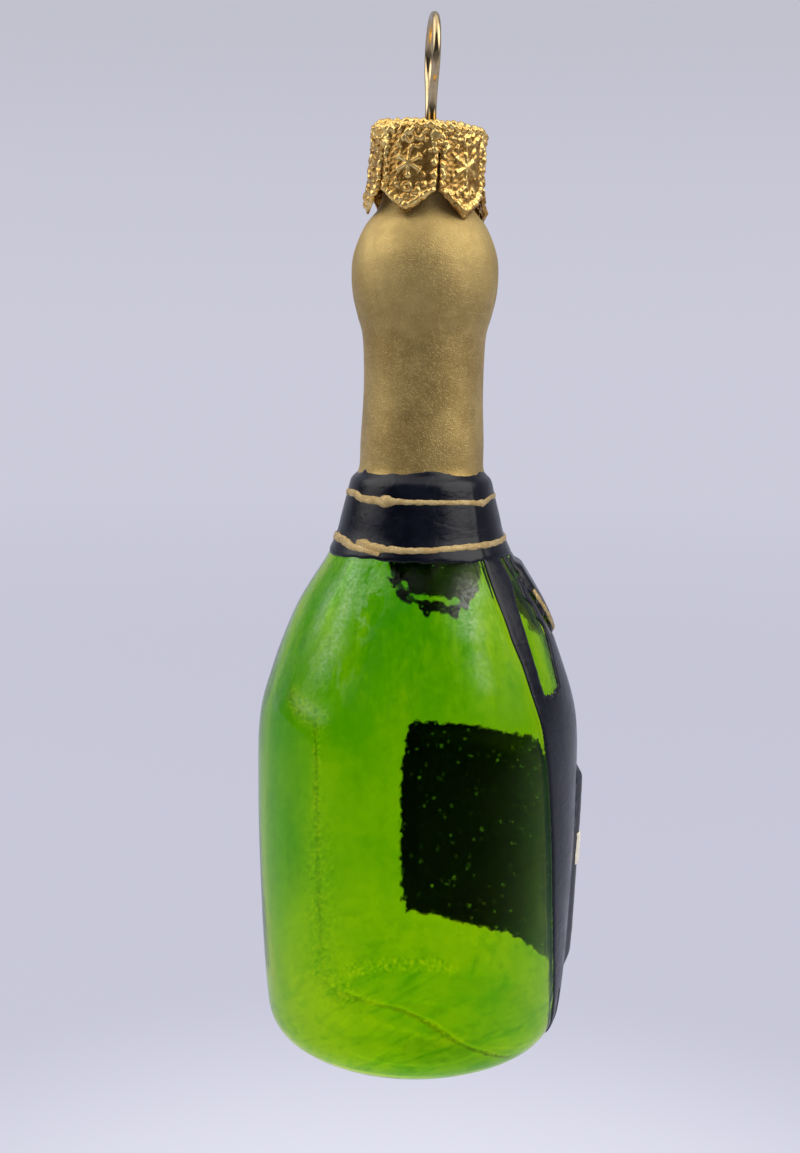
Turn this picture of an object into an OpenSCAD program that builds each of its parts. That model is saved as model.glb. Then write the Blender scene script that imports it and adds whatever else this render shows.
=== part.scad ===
// Hanging glass ornament in the shape of a champagne bottle.
// The origin is the centre of the base, +Z is up, and the label faces -Y.
// Angles called phi are counted from -Y towards +X.

/* [Glass body] */
// Widest diameter of the glass body
body_d = 38.1; // [35:0.1:41]
// Diameter just above the rounded heel
heel_d = 35.6; // [33:0.1:38]
// Height of the rounded heel
heel_h = 7; // [5:0.5:9]
// Diameter of the flat that the bottle stands on
base_flat_d = 18; // [12:1:22]
// Height at which the shoulder starts
body_h = 38.5; // [34:0.5:44]
// Height of the shoulder, from the body to the collar
shoulder_h = 20.7; // [17:0.1:25]
// Thickness of the blown glass wall
glass_wall = 0.9; // [0.7:0.1:1.1]
// How far the two mould seams stand out
seam_relief = 0.25; // [0.15:0.05:0.4]
// Width of a mould seam
seam_w = 0.6; // [0.4:0.1:1]
// Angle of the seam beside the painted flank
seam_phi = -85; // [-88:1:-82]

/* [Collar] */
// Diameter of the glass at the collar's lower edge
collar_low_d = 22.1; // [20:0.1:24]
// Diameter of the glass at the collar's upper edge
collar_top_d = 16.1; // [15:0.1:18]
// Height of the moulded collar
collar_h = 9.8; // [8:0.1:12]
// Thickness of the black lacquer
lacquer_t = 0.25; // [0.15:0.05:0.4]
// Thickness of the raised gold lines round the collar
cord_d = 0.9; // [0.6:0.1:1.2]
// Height of the lower gold line above the collar's edge
low_cord_rise = 1.9; // [1:0.1:2.2]
// Height of the upper gold line above the collar's edge
top_cord_rise = 7.2; // [5:0.1:8]
// Height of the gold's lower edge above the top of the collar
gold_edge_rise = 0.4; // [0:0.1:0.8]
// Radius of the bead where a gold line's ends meet
cord_bead_r = 0.75; // [0.6:0.05:1]
// Radius of the two foil lobes below the collar
lobe_r = 6.3; // [5.5:0.1:6.5]
// Angle of each lobe's middle
lobe_phi = 33; // [32:1:38]
// Height of a lobe's centre below the collar's edge
lobe_drop = 3.1; // [2.8:0.1:3.5]
// How far the lobes are moulded out of the glass
lobe_relief = 0.6; // [0.4:0.1:1]

/* [Neck] */
// Narrowest diameter of the neck
neck_d = 13.7; // [13:0.1:15]
// Height of the neck, from the collar to the bulb
neck_h = 15.6; // [12:0.1:19]
// Diameter of the bulb that stands for the cork and its foil
bulb_d = 16.6; // [15:0.1:18]
// Height of the bulb
bulb_h = 15.4; // [13:0.1:18]
// Thickness of the gold lacquer
gilding_t = 0.15; // [0.1:0.05:0.3]
// Outside diameter of the open glass mouth under the cap
mouth_d = 9.4; // [8.6:0.1:10]
// Length of the open glass mouth
mouth_h = 7.7; // [6:0.1:9]

/* [Painted flank] */
// Height of the flank's lower edge
flank_low_z = 2.6; // [2:0.1:5]
// Height of the bare patch's lower end above the start of the shoulder
flank_patch_rise = 3.5; // [1:0.5:8]
// Width of the lacquer stripe beside the seam, as an angle
stripe_deg = 4; // [3:0.5:6]
// Angle of the bare patch's far side
flank_patch_phi = -70; // [-74:1:-66]
// Angle at which the flank ends above and below the label
flank_end_phi = -42; // [-48:1:-40]
// How far below the collar's edge the flank ends above the label
flank_top_drop = 8.7; // [6:0.1:12]
// Gap between the flank's lacquer and the raised glass beside it
paint_gap = 0.1; // [0.05:0.05:0.3]

/* [Label] */
// Half the label's width, as an angle
label_half_deg = 50; // [44:1:54]
// Height of the label's lower edge
label_low_z = 8.4; // [8:0.1:11]
// Height of the label
label_h = 26; // [22:0.5:28]
// How far the label is moulded out of the glass
label_relief = 1; // [0.6:0.1:1.3]
// Distance of the gold border from the label's edge
border_inset = 2; // [1.5:0.1:3]
// Width of the gold border
border_w = 0.8; // [0.5:0.1:1.2]
// Thickness of the raised enamel on the label
enamel_t = 0.3; // [0.2:0.05:0.5]
// Height of the cream ribbon's middle above the label's lower edge
ribbon_rise = 15.2; // [14:0.1:17]
// Height of the cream ribbon
ribbon_h = 4; // [3:0.1:5]
// Radius of one grape of the emblem
grape_r = 0.95; // [0.85:0.05:1.05]
// Distance from grape to grape
grape_step = 1.5; // [1.4:0.05:1.7]

/* [Crown cap] */
// Thickness of the cap's sheet metal
cap_sheet = 0.3; // [0.2:0.05:0.4]
// Outside diameter of the cap's skirt at the top
cap_d = 12.6; // [12:0.1:13.5]
// Outside diameter at the petals' tips
cap_tip_d = 13.7; // [13:0.1:14.5]
// Height of the cap, from the petals' tips to the rim
cap_h = 10.4; // [9:0.1:11]
// Number of petals
petals = 6; // [5:1:8]
// Width of the slit between two petals
slit_w = 0.35; // [0.3:0.05:0.6]
// Height of the closed ring above the slits
cap_ring_h = 2.4; // [2:0.1:4]
// Length of a petal's pointed tip
petal_point_h = 2.6; // [1.5:0.1:3.5]
// Width of the blunt end of a petal's point
petal_end_w = 0.6; // [0.4:0.1:1.2]
// Height of the rounded rim round the cap's top
rim_h = 0.5; // [0.3:0.05:0.8]
// Width of the rounded rim
rim_w = 1.2; // [1:0.1:1.4]
// Gap between the cap and the glass mouth that carries it
cap_seat_gap = 0.1; // [0.05:0.05:0.2]
// Angle of the hanger's plane about the bottle's axis, from +X
cap_turn = 139; // [0:1:180]
// Angle from the hanger's plane to the nearest slit between two petals
petal_turn = 6; // [0:1:30]

/* [Hanger] */
// Diameter of the spring wire
wire_d = 0.95; // [0.8:0.05:1.1]
// Inside radius of the hanging eye
eye_r = 3.7; // [3.6:0.1:4.5]
// Height of the eye's centre above the cap
eye_rise = 8.3; // [7.6:0.1:10]
// Distance between the wire's two legs in the cap
leg_gap = 3.4; // [3:0.1:4]
// Length of the spring legs below the cap
leg_l = 21; // [16:0.5:24]
// Clearance between the spring legs and the glass mouth
leg_clearance = 0.25; // [0.15:0.05:0.3]
// Clearance of the wire in the cap's two holes
hole_clearance = 0.15; // [0.1:0.05:0.25]

/* [Hidden] */
$fn = 96;

eps = 0.01;
curve_steps = 3;

// heights that the pieces share
collar_z = body_h + shoulder_h;
neck_z = collar_z + collar_h;
bulb_z = neck_z + neck_h;
mouth_z = bulb_z + bulb_h;
mouth_top_z = mouth_z + mouth_h;
mouth_bore_r = mouth_d / 2 - glass_wall;
cap_under_z = mouth_top_z + cap_seat_gap;
cap_top_z = cap_under_z + cap_sheet;
cap_tip_z = cap_top_z + rim_h - cap_h;
label_top_z = label_low_z + label_h;
gold_edge_z = neck_z + gold_edge_rise;
flank_patch_z = body_h + flank_patch_rise;
flank_top_z = collar_z - flank_top_drop;
label_face = label_relief + lacquer_t;
lobe_face = lobe_relief + lacquer_t;

function mix(a, b, share) = a + (b - a) * share;

// a smooth line through stations, by the Catmull-Rom rule
function bend(a, b, c, d, t) =
    0.5 * (2 * b + (c - a) * t + (2 * a - 5 * b + 4 * c - d) * t * t
    + (3 * b - a - 3 * c + d) * t * t * t);
function smooth(line, steps) = [
    for (i = [0 : len(line) - 2], s = [0 : steps - 1])
        bend(line[max(i - 1, 0)], line[i], line[i + 1],
             line[min(i + 2, len(line) - 1)], s / steps),
    line[len(line) - 1]
];

// how far the shoulder, the collar and the bulb have come in, as
// [share of the height, share of the change in radius]
shoulder_line = [
    [0, 0], [0.17, 0.06], [0.36, 0.21], [0.55, 0.385], [0.72, 0.57], [0.87, 0.79], [1, 1]
];
collar_line = [[0.3, 0.45], [0.57, 0.66], [0.8, 0.84], [1, 1]];
bulb_rise_line = [[0, 0.12], [0.16, 0.52], [0.3, 0.87], [0.44, 1]];
bulb_fall_line = [[0.59, 0.04], [0.73, 0.23], [0.85, 0.5], [0.94, 0.84], [1, 1]];

function stretch(line, z0, h, r0, r1) =
    [for (p = line) [mix(r0, r1, p[1]), z0 + h * p[0]]];

heel_r = heel_d / 2;
heel_stations = [
    [base_flat_d / 2, 0],
    [mix(base_flat_d / 2, heel_r, 0.45), heel_h * 0.06],
    [mix(base_flat_d / 2, heel_r, 0.74), heel_h * 0.2],
    [mix(base_flat_d / 2, heel_r, 0.93), heel_h * 0.5],
    [heel_r, heel_h],
    [mix(heel_r, body_d / 2, 0.48), mix(heel_h, body_h, 0.25)],
    [mix(heel_r, body_d / 2, 0.9), mix(heel_h, body_h, 0.6)],
    [body_d / 2, mix(heel_h, body_h, 0.85)]
];
profile_stations = concat(
    heel_stations,
    stretch(shoulder_line, body_h, shoulder_h, body_d / 2 * 0.995, collar_low_d / 2),
    stretch(collar_line, collar_z, collar_h * 0.94, collar_low_d / 2, collar_top_d / 2),
    [[mix(collar_top_d, neck_d, 0.7) / 2, neck_z + neck_h * 0.04],
     [neck_d / 2 * 1.036, neck_z + neck_h * 0.25],
     [neck_d / 2, neck_z + neck_h * 0.62]],
    stretch(bulb_rise_line, bulb_z, bulb_h, neck_d / 2, bulb_d / 2),
    stretch(bulb_fall_line, bulb_z, bulb_h, bulb_d / 2, mouth_d / 2)
);
profile = concat(smooth(profile_stations, curve_steps), [[mouth_d / 2, mouth_top_z]]);

// the outer radius of the plain glass at a height
radius_table = [for (p = profile) [p[1], p[0]]];
function glass_r(z) = lookup(z, radius_table);
function heights(z0, z1) =
    concat([z0], [for (p = profile) if (p[1] > z0 + eps && p[1] < z1 - eps) p[1]], [z1]);

// the profile moved inwards by the wall, point by point
function unit(v) = v / norm(v);
function inward(i) =
    let (a = profile[max(i - 1, 0)], b = profile[min(i + 1, len(profile) - 1)], t = unit(b - a))
    [-t[1], t[0]];
inner_profile = concat(
    [[0, glass_wall]],
    [for (i = [1 : len(profile) - 2]) profile[i] + glass_wall * inward(i)],
    [[mouth_bore_r, mouth_top_z]]
);

// a band on the glass between two heights and two distances from its surface
module band_outline(z0, z1, near, far) {
    zs = heights(z0, z1);
    polygon(concat(
        [for (z = zs) [glass_r(z) + far, z]],
        [for (i = [len(zs) - 1 : -1 : 0]) [glass_r(zs[i]) + near, zs[i]]]
    ));
}

// the same band over a range of angles
module patch(phi0, phi1, z0, z1, near, far) {
    rotate([0, 0, phi0 - 90])
        rotate_extrude(angle = phi1 - phi0)
            band_outline(z0, z1, near, far);
}

// everything inside a face that stands out from the glass by a distance
module core(z0, z1, far) {
    zs = heights(z0, z1);
    rotate_extrude()
        polygon(concat([[0, z0]], [for (z = zs) [glass_r(z) + far, z]], [[0, z1]]));
}

// a round bar that points outwards at an angle and a height
module outward_bar(phi, z, r) {
    rotate([0, 0, phi])
        translate([0, 0, z])
            rotate([90, 0, 0])
                cylinder(r = r, h = body_d);
}

module lobe_bar(side, r) {
    outward_bar(side * lobe_phi, collar_z - lobe_drop, r);
}

// a lobe-shaped piece between two distances from the glass
module lobe(side, near, far) {
    low_z = collar_z - lobe_drop - lobe_r - 1;
    intersection() {
        rotate_extrude()
            band_outline(low_z, collar_z, near, far);
        lobe_bar(side, lobe_r);
    }
}

// a mould seam from the heel to the collar
module seam(phi) {
    half_deg = seam_w / body_d * 180 / PI;
    patch(phi - half_deg, phi + half_deg, heel_h * 0.25, collar_z - eps, -glass_wall / 2, seam_relief);
}

module glass_bottle() {
    color("yellowgreen", 0.5)
        union() {
            difference() {
                union() {
                    rotate_extrude()
                        polygon(concat([[0, 0]], profile, [[0, mouth_top_z]]));
                    patch(-label_half_deg, label_half_deg, label_low_z, label_top_z,
                          -glass_wall / 2, label_relief);
                    for (side = [-1, 1])
                        lobe(side, -glass_wall / 2, lobe_relief);
                }
                rotate_extrude()
                    polygon(concat(inner_profile, [[mouth_bore_r, mouth_top_z + 1], [0, mouth_top_z + 1]]));
                patch(-label_half_deg + 3, label_half_deg - 3, label_low_z + glass_wall,
                      label_top_z - glass_wall, -glass_wall * 1.5, label_relief - glass_wall);
            }
            seam(seam_phi);
            seam(seam_phi + 172);
        }
}

module neck_gilding() {
    color("darkgoldenrod")
        rotate_extrude()
            band_outline(gold_edge_z, mouth_z - gilding_t, 0, gilding_t);
}

module collar_lacquer() {
    color("black")
        rotate_extrude()
            band_outline(collar_z, gold_edge_z, 0, lacquer_t);
}

// a raised line round the collar with a bead where its ends meet
module gold_line(rise, bead_phi) {
    z = collar_z + rise;
    r = glass_r(z) + lacquer_t;
    difference() {
        union() {
            rotate_extrude()
                translate([r, z])
                    circle(d = cord_d);
            rotate([0, 0, bead_phi])
                translate([0, -r, z])
                    sphere(r = cord_bead_r);
        }
        core(z - 2 * cord_bead_r, z + 2 * cord_bead_r, lacquer_t);
    }
}

module upper_gold_line() {
    color("gold") gold_line(top_cord_rise, -164);
}

module lower_gold_line() {
    color("gold") gold_line(low_cord_rise, -170);
}

module lobe_lacquer(side) {
    color("black") lobe(side, lobe_relief, lobe_face);
}

module left_lobe_lacquer() {
    lobe_lacquer(-1);
}

module right_lobe_lacquer() {
    lobe_lacquer(1);
}

module lobe_edging(side) {
    color("khaki")
        difference() {
            lobe(side, lobe_face, lobe_face + enamel_t);
            lobe_bar(side, lobe_r - border_w);
        }
}

module left_lobe_edging() {
    lobe_edging(-1);
}

module right_lobe_edging() {
    lobe_edging(1);
}

// the flank runs from the seam to the label, round a bare patch under the collar
module flank_lacquer() {
    gap_deg = paint_gap / body_d * 360 / PI;
    first = seam_phi + seam_w / body_d * 180 / PI + gap_deg;
    color("black")
        difference() {
            patch(first, flank_end_phi, flank_low_z, collar_z, 0, lacquer_t);
            patch(first + stripe_deg, flank_patch_phi, flank_patch_z, collar_z + 1, -1, lobe_face);
            patch(flank_patch_phi - 1, flank_end_phi + 1, flank_top_z, collar_z + 1, -1, lobe_face);
            patch(-label_half_deg - gap_deg, flank_end_phi + 1, label_low_z - paint_gap,
                  label_top_z + paint_gap, -1, lobe_face);
            lobe_bar(-1, lobe_r + paint_gap);
        }
}

module label_lacquer() {
    color("black")
        patch(-label_half_deg, label_half_deg, label_low_z, label_top_z, label_relief, label_face);
}

// a patch of enamel on the label's face, its size given as an angle and two heights
module enamel(half_deg, z0, z1) {
    patch(-half_deg, half_deg, z0, z1, label_face, label_face + enamel_t);
}

module label_border() {
    inset_deg = border_inset / body_d * 360 / PI;
    line_deg = border_w / body_d * 360 / PI;
    half_deg = label_half_deg - inset_deg;
    color("gold")
        difference() {
            enamel(half_deg, label_low_z + border_inset, label_top_z - border_inset);
            patch(line_deg - half_deg, half_deg - line_deg,
                  label_low_z + border_inset + border_w, label_top_z - border_inset - border_w,
                  label_face - 1, label_face + 1);
            // the border stops where the ribbon crosses it
            patch(-label_half_deg, label_half_deg,
                  label_low_z + ribbon_rise - ribbon_h / 2, label_low_z + ribbon_rise + ribbon_h / 2,
                  label_face - 1, label_face + 1);
        }
}

module label_ribbon() {
    z = label_low_z + ribbon_rise;
    color("ivory")
        enamel(label_half_deg - 3, z - ribbon_h / 2, z + ribbon_h / 2);
}

// the place of a bead on the label's face
module on_label(phi, z) {
    rotate([0, 0, phi])
        translate([0, -glass_r(z) - label_face, z])
            children();
}

// a bunch of grapes below the ribbon and a row of dots above it
module label_emblem() {
    bunch = [4, 3, 2, 1];
    row_h = grape_step * 0.87;
    step_deg = grape_step / (body_d / 2 + label_face) * 180 / PI;
    bunch_z = label_low_z + ribbon_rise - ribbon_h / 2 - 2 * grape_r;
    dot_z = label_low_z + mix(ribbon_rise + ribbon_h / 2, label_h - border_inset, 0.5);
    color("gold")
        difference() {
            union() {
                for (row = [0 : len(bunch) - 1], i = [0 : bunch[row] - 1])
                    on_label((i - (bunch[row] - 1) / 2) * step_deg, bunch_z - row * row_h)
                        sphere(r = grape_r);
                for (i = [-2 : 2])
                    on_label(i * 2 * step_deg, dot_z)
                        sphere(r = grape_r * 0.6);
            }
            core(label_low_z + border_inset, label_top_z - border_inset, label_face);
        }
}

// the outside radius of the cap's skirt at a height
function cap_r(z) = mix(cap_tip_d, cap_d, (z - cap_tip_z) / (cap_top_z - cap_tip_z)) / 2;

// the space between two petals' points, which runs on below them
module petal_notch() {
    below = 1;
    half_w = (cap_tip_d * sin(180 / petals) - petal_end_w) / 2;
    foot_w = half_w * (1 + below / petal_point_h);
    linear_extrude(height = cap_tip_d)
        polygon([
            [-foot_w, cap_tip_z - below],
            [0, cap_tip_z + petal_point_h],
            [foot_w, cap_tip_z - below]
        ]);
}

module crown_cap() {
    ring_z = cap_top_z - cap_ring_h;
    color("goldenrod")
        rotate([0, 0, cap_turn])
            difference() {
                rotate_extrude()
                    polygon([
                        [cap_r(cap_tip_z), cap_tip_z],
                        [cap_r(cap_top_z), cap_top_z - rim_h * 0.8],
                        [cap_r(cap_top_z) - rim_w * 0.2, cap_top_z + rim_h * 0.8],
                        [cap_r(cap_top_z) - rim_w * 0.5, cap_top_z + rim_h],
                        [cap_r(cap_top_z) - rim_w * 0.8, cap_top_z + rim_h * 0.7],
                        [cap_r(cap_top_z) - rim_w, cap_top_z],
                        [0, cap_top_z],
                        [0, cap_under_z],
                        [cap_r(cap_top_z) - cap_sheet, cap_under_z],
                        [cap_r(cap_tip_z) - cap_sheet, cap_tip_z]
                    ]);
                for (i = [0 : petals - 1])
                    rotate([0, 0, petal_turn + i * 360 / petals - 90]) {
                        translate([-slit_w / 2, 0, cap_tip_z - 1])
                            cube([slit_w, cap_tip_d, ring_z - cap_tip_z + 1]);
                        rotate([90, 0, 180])
                            petal_notch();
                    }
                for (side = [-1, 1])
                    translate([side * leg_gap / 2, 0, cap_under_z - 1])
                        cylinder(d = wire_d + 2 * hole_clearance, h = cap_sheet + 2);
            }
}

// one half of the wire, from its tip below the cap to the top of the eye
eye_centre_z = cap_top_z + eye_rise;
eye_mid_r = eye_r + wire_d / 2;
leg_reach = mouth_bore_r - wire_d / 2 - leg_clearance;
tip_z = cap_top_z - leg_l;
wire_half = concat(
    smooth([
        [leg_reach - wire_d, tip_z],
        [leg_reach - wire_d * 0.3, tip_z + leg_l * 0.06],
        [leg_reach, tip_z + leg_l * 0.17],
        [leg_reach, tip_z + leg_l * 0.45],
        [mix(leg_reach, leg_gap / 2, 0.5), cap_top_z - leg_l * 0.26],
        [leg_gap / 2, cap_top_z - leg_l * 0.08],
        [leg_gap / 2, cap_top_z + eye_rise * 0.06],
        [leg_gap / 2, cap_top_z + eye_rise * 0.31],
        [eye_mid_r * 0.62, eye_centre_z - eye_mid_r * 0.86]
    ], 4),
    [for (a = [-45 : 11.25 : 78.75]) [eye_mid_r * cos(a), eye_centre_z + eye_mid_r * sin(a)]]
);
wire_line = concat(
    wire_half,
    [[0, eye_centre_z + eye_mid_r]],
    [for (i = [len(wire_half) - 1 : -1 : 0]) [-wire_half[i][0], wire_half[i][1]]]
);

// a round tube along a line that lies in the XZ plane
module wire_sweep(line, d, sides) {
    n = len(line);
    rings = [
        for (i = [0 : n - 1])
            let (t = unit(line[min(i + 1, n - 1)] - line[max(i - 1, 0)]))
            for (k = [0 : sides - 1])
                let (a = 360 * k / sides, out = d / 2 * cos(a))
                [line[i][0] - t[1] * out, d / 2 * sin(a), line[i][1] + t[0] * out]
    ];
    walls = [
        for (i = [0 : n - 2], k = [0 : sides - 1])
            let (a = i * sides + k, b = i * sides + (k + 1) % sides)
            [a, b, b + sides, a + sides]
    ];
    polyhedron(
        points = rings,
        faces = concat(
            [[for (k = [sides - 1 : -1 : 0]) k]],
            walls,
            [[for (k = [0 : sides - 1]) (n - 1) * sides + k]]
        )
    );
}

module hanger_wire() {
    color("wheat")
        rotate([0, 0, cap_turn])
            wire_sweep(wire_line, wire_d, 12);
}

glass_bottle();
neck_gilding();
collar_lacquer();
upper_gold_line();
lower_gold_line();
left_lobe_lacquer();
right_lobe_lacquer();
left_lobe_edging();
right_lobe_edging();
flank_lacquer();
label_lacquer();
label_border();
label_ribbon();
label_emblem();
crown_cap();
hanger_wire();
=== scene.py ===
import math

import bpy
import numpy as np
from mathutils import Matrix, Vector


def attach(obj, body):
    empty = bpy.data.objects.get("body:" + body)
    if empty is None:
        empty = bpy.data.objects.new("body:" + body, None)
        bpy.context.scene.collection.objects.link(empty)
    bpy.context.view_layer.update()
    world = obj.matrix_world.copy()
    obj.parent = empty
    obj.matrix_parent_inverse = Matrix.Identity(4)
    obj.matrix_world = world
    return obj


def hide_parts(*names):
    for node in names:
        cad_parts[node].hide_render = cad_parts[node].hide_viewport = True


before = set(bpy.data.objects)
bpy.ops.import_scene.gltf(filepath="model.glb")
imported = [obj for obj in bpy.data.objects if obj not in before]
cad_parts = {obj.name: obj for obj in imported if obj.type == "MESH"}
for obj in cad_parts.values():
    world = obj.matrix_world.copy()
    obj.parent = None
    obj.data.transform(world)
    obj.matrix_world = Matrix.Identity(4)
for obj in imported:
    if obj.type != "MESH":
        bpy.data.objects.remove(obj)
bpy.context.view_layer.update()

MM = 0.001

# The photograph looks from behind and to the left: directions in plan, from the origin.
camera_bearing = 223
left_bearing = 133
camera_way = (-0.682, 0.731, 0)
left_way = (0.73, 0.68, 0)
right_way = (-0.731, -0.682, 0)

# Sizes in mm. The origin is the centre of the base, +Z is up and the label faces -Y.
# Angles called phi, and bearings, are in degrees from -Y towards +X; the cap's angles are from +X.
body_r = 19.05
heel_r = 17.8
heel_h = 7.0
base_flat_r = 9.0
body_h = 38.5
shoulder_h = 20.7
wall = 0.9
collar_low_r = 11.05
collar_top_r = 8.05
collar_h = 9.8
neck_r = 6.85
neck_h = 15.6
bulb_r = 8.3
bulb_h = 15.4
mouth_r = 4.7
mouth_h = 7.7
collar_z = body_h + shoulder_h
neck_z = collar_z + collar_h
bulb_z = neck_z + neck_h
mouth_z = bulb_z + bulb_h
mouth_top_z = mouth_z + mouth_h
mouth_bore_r = mouth_r - wall

# thicknesses of the layers, and how far they reach into the glass
lacquer_t = 0.2
gilding_t = 0.13
enamel_t = 0.22
skin_gap = 0.02
bond = -0.03

gilding_top_z = 104.5
collar_foot_z = 59.95
lacquer_top_z = 60.1
flank_low_z = 2.6
flank_top_z = 50.5
gold_line_r = 0.36
drawn_line_turn_r = 9

label_half_deg = 50.0
label_low_z = 8.4
label_top_z = 34.9
label_relief = 1.0
ribbon_z = label_low_z + 15.2
ribbon_half_h = 2
ribbon_half_deg = 45.6
border_half_deg = 40.5
border_corner_r = 1.2
grape_step = 1.5
grapes_top_z = 19.7
dots_z = 29.0
lobe_r = 6.3
lobe_phi = 33.0
lobe_z = collar_z - 3.1
lobe_relief = 0.6
left_rim_start = 181
seam_relief = 0.25
seam_half_w = 0.24

cap_r_top = 6.3
cap_r_tip = 6.85
cap_sheet = 0.22
stamp_r = 6.6
cap_top_z = mouth_top_z + 0.4
cap_tip_z = cap_top_z - 9.9
cap_turn = 139.0
petal_turn = 145.0
slit_w = 0.2

wire_r = 0.475
eye_r = 3.7 + wire_r
eye_z = cap_top_z + 8.3
leg_reach = mouth_bore_r - wire_r - 0.25
leg_tip_z = cap_top_z - 21
leg_gap = 3.4
wire_lean_deg = 0.8


def mix(a, b, share):
    return a + (b - a) * share


def bend(a, b, c, d, t):
    return 0.5 * (2 * b + (c - a) * t + (2 * a - 5 * b + 4 * c - d) * t ** 2
                  + (3 * b - a - 3 * c + d) * t ** 3)


def smooth(stations, steps):
    """A smooth line through stations, with a number of steps from each to the next."""
    line = [np.array(p, float) for p in stations]
    last = len(line) - 1
    made = []
    for i in range(last):
        for s in range(steps):
            made.append(bend(line[max(i - 1, 0)], line[i], line[i + 1], line[min(i + 2, last)], s / steps))
    made.append(line[last])
    return np.array(made)


def stretch(line, z0, height, r0, r1):
    return [(mix(r0, r1, inwards), z0 + height * up) for up, inwards in line]


def glass_profile():
    """The outer line of the glass as rows of radius and height, from the base's flat to the mouth."""
    heel = [
        (base_flat_r, 0),
        (mix(base_flat_r, heel_r, 0.45), heel_h * 0.06),
        (mix(base_flat_r, heel_r, 0.74), heel_h * 0.2),
        (mix(base_flat_r, heel_r, 0.93), heel_h * 0.5),
        (heel_r, heel_h),
        (mix(heel_r, body_r, 0.48), mix(heel_h, body_h, 0.25)),
        (mix(heel_r, body_r, 0.9), mix(heel_h, body_h, 0.6)),
        (body_r, mix(heel_h, body_h, 0.85)),
    ]
    shoulder = [(0, 0), (0.17, 0.06), (0.36, 0.21), (0.55, 0.385), (0.72, 0.57), (0.87, 0.79), (1, 1)]
    collar = [(0.3, 0.45), (0.57, 0.66), (0.8, 0.84), (1, 1)]
    neck = [
        (mix(collar_top_r, neck_r, 0.7), neck_z + neck_h * 0.04),
        (neck_r * 1.036, neck_z + neck_h * 0.25),
        (neck_r, neck_z + neck_h * 0.62),
    ]
    bulb_rise = [(0, 0.12), (0.16, 0.52), (0.3, 0.87), (0.44, 1)]
    bulb_fall = [(0.59, 0.04), (0.73, 0.23), (0.85, 0.5), (0.94, 0.84), (1, 1)]
    stations = (
        heel
        + stretch(shoulder, body_h, shoulder_h, body_r * 0.995, collar_low_r)
        + stretch(collar, collar_z, collar_h * 0.94, collar_low_r, collar_top_r)
        + neck
        + stretch(bulb_rise, bulb_z, bulb_h, neck_r, bulb_r)
        + stretch(bulb_fall, bulb_z, bulb_h, bulb_r, mouth_r)
    )
    return np.vstack([smooth(stations, 8), [(mouth_r, mouth_top_z)]])


profile = glass_profile()


def glass_r(z):
    return np.interp(z, profile[:, 1], profile[:, 0])


def turn_from(phi, middle):
    """How far an angle is from another one, between -180 and 180."""
    return (phi - middle + 180) % 360 - 180


def ramp(inside, width):
    """Rises smoothly from 0 at an edge to 1 at a width inside it."""
    t = np.clip(inside / width, 0, 1)
    return t * t * (3 - 2 * t)


def ragged(u, v, seed, size, depth):
    """An uneven height over two lengths in mm, mostly within plus or minus the depth."""
    rng = np.random.default_rng(seed)
    total = 0
    for _ in range(8):
        angle = rng.uniform(0, math.pi)
        wave = 2 * math.pi / (size * rng.uniform(0.6, 1.8))
        phase = rng.uniform(0, 2 * math.pi)
        total = total + np.sin(wave * (u * math.cos(angle) + v * math.sin(angle)) + phase)
    return depth * total / 3


def plan(phi, r):
    """The place in plan of an angle and a radius."""
    angle = np.radians(phi)
    return r * np.sin(angle), -r * np.cos(angle)


def ripple(phi, z, seed, most_turns, wave_h, depth):
    """The slow unevenness of blown glass, which closes round the bottle."""
    rng = np.random.default_rng(seed)
    total = 0
    for _ in range(9):
        turns = rng.integers(0, most_turns + 1)
        rise = 2 * math.pi / (wave_h * rng.uniform(0.8, 3)) * rng.choice([-1, 1])
        phase = rng.uniform(0, 2 * math.pi)
        total = total + np.sin(np.radians(turns * phi) + rise * z + phase)
    return depth * total / 3


# the label's uneven lower edge, and its edge on the side of +X
label_foot = np.array([(-50, 0.2), (-29, -0.3), (18, -0.6), (46, 0.5), (50, 0.7)])
label_side = np.array([(8.4, 45.5), (10.4, 47.8), (17, 49.7), (27, 50), (31, 49), (34.9, 47)])


def label_inside(phi, z):
    """How far a place is inside the label's edge, in mm."""
    away = turn_from(phi, 0)
    half = np.where(away > 0, np.interp(z, label_side[:, 0], label_side[:, 1]), label_half_deg)
    across = (half - np.abs(away)) * math.pi / 180 * glass_r(z)
    low = label_low_z + np.interp(away, label_foot[:, 0], label_foot[:, 1])
    return np.minimum(across, np.minimum(z - low, label_top_z - z))


def lobe_middle(side):
    """The angle of a collar lobe's middle; the left one was blown a little further round."""
    return lobe_phi if side > 0 else -lobe_phi - 4


def lobe_inside(phi, z, side):
    """How far a place is inside a collar lobe's round edge, in mm."""
    away = turn_from(phi, lobe_middle(side))
    across = glass_r(z) * np.sin(np.radians(np.clip(away, -90, 90)))
    return lobe_r - np.hypot(across, z - lobe_z)


# the near mould seam wanders; its height in mm and its angle
near_seam = np.array([
    (0, -66), (7.4, -69.5), (14, -75.5), (21, -80), (33, -84.5), (39, -87.5), (42.5, -89.5),
    (45.8, -91.5), (48.7, -93), (51.5, -95.5), (55.8, -97), (60, -96), (70, -94),
])
far_seam_phi = 87.0
# the seam across the base, as places in plan
base_seam = [(15.6, 0.3), (13.2, -1), (5.3, -3.1), (-3.7, -2.9), (-9, -2.4), (-13.9, -2.1), (-16.6, -4.4)]
# a short crease in the glass beside the far seam
crease_line = [(106, 40.6), (98, 38.4), (93, 37.2), (87, 35.8)]

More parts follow.
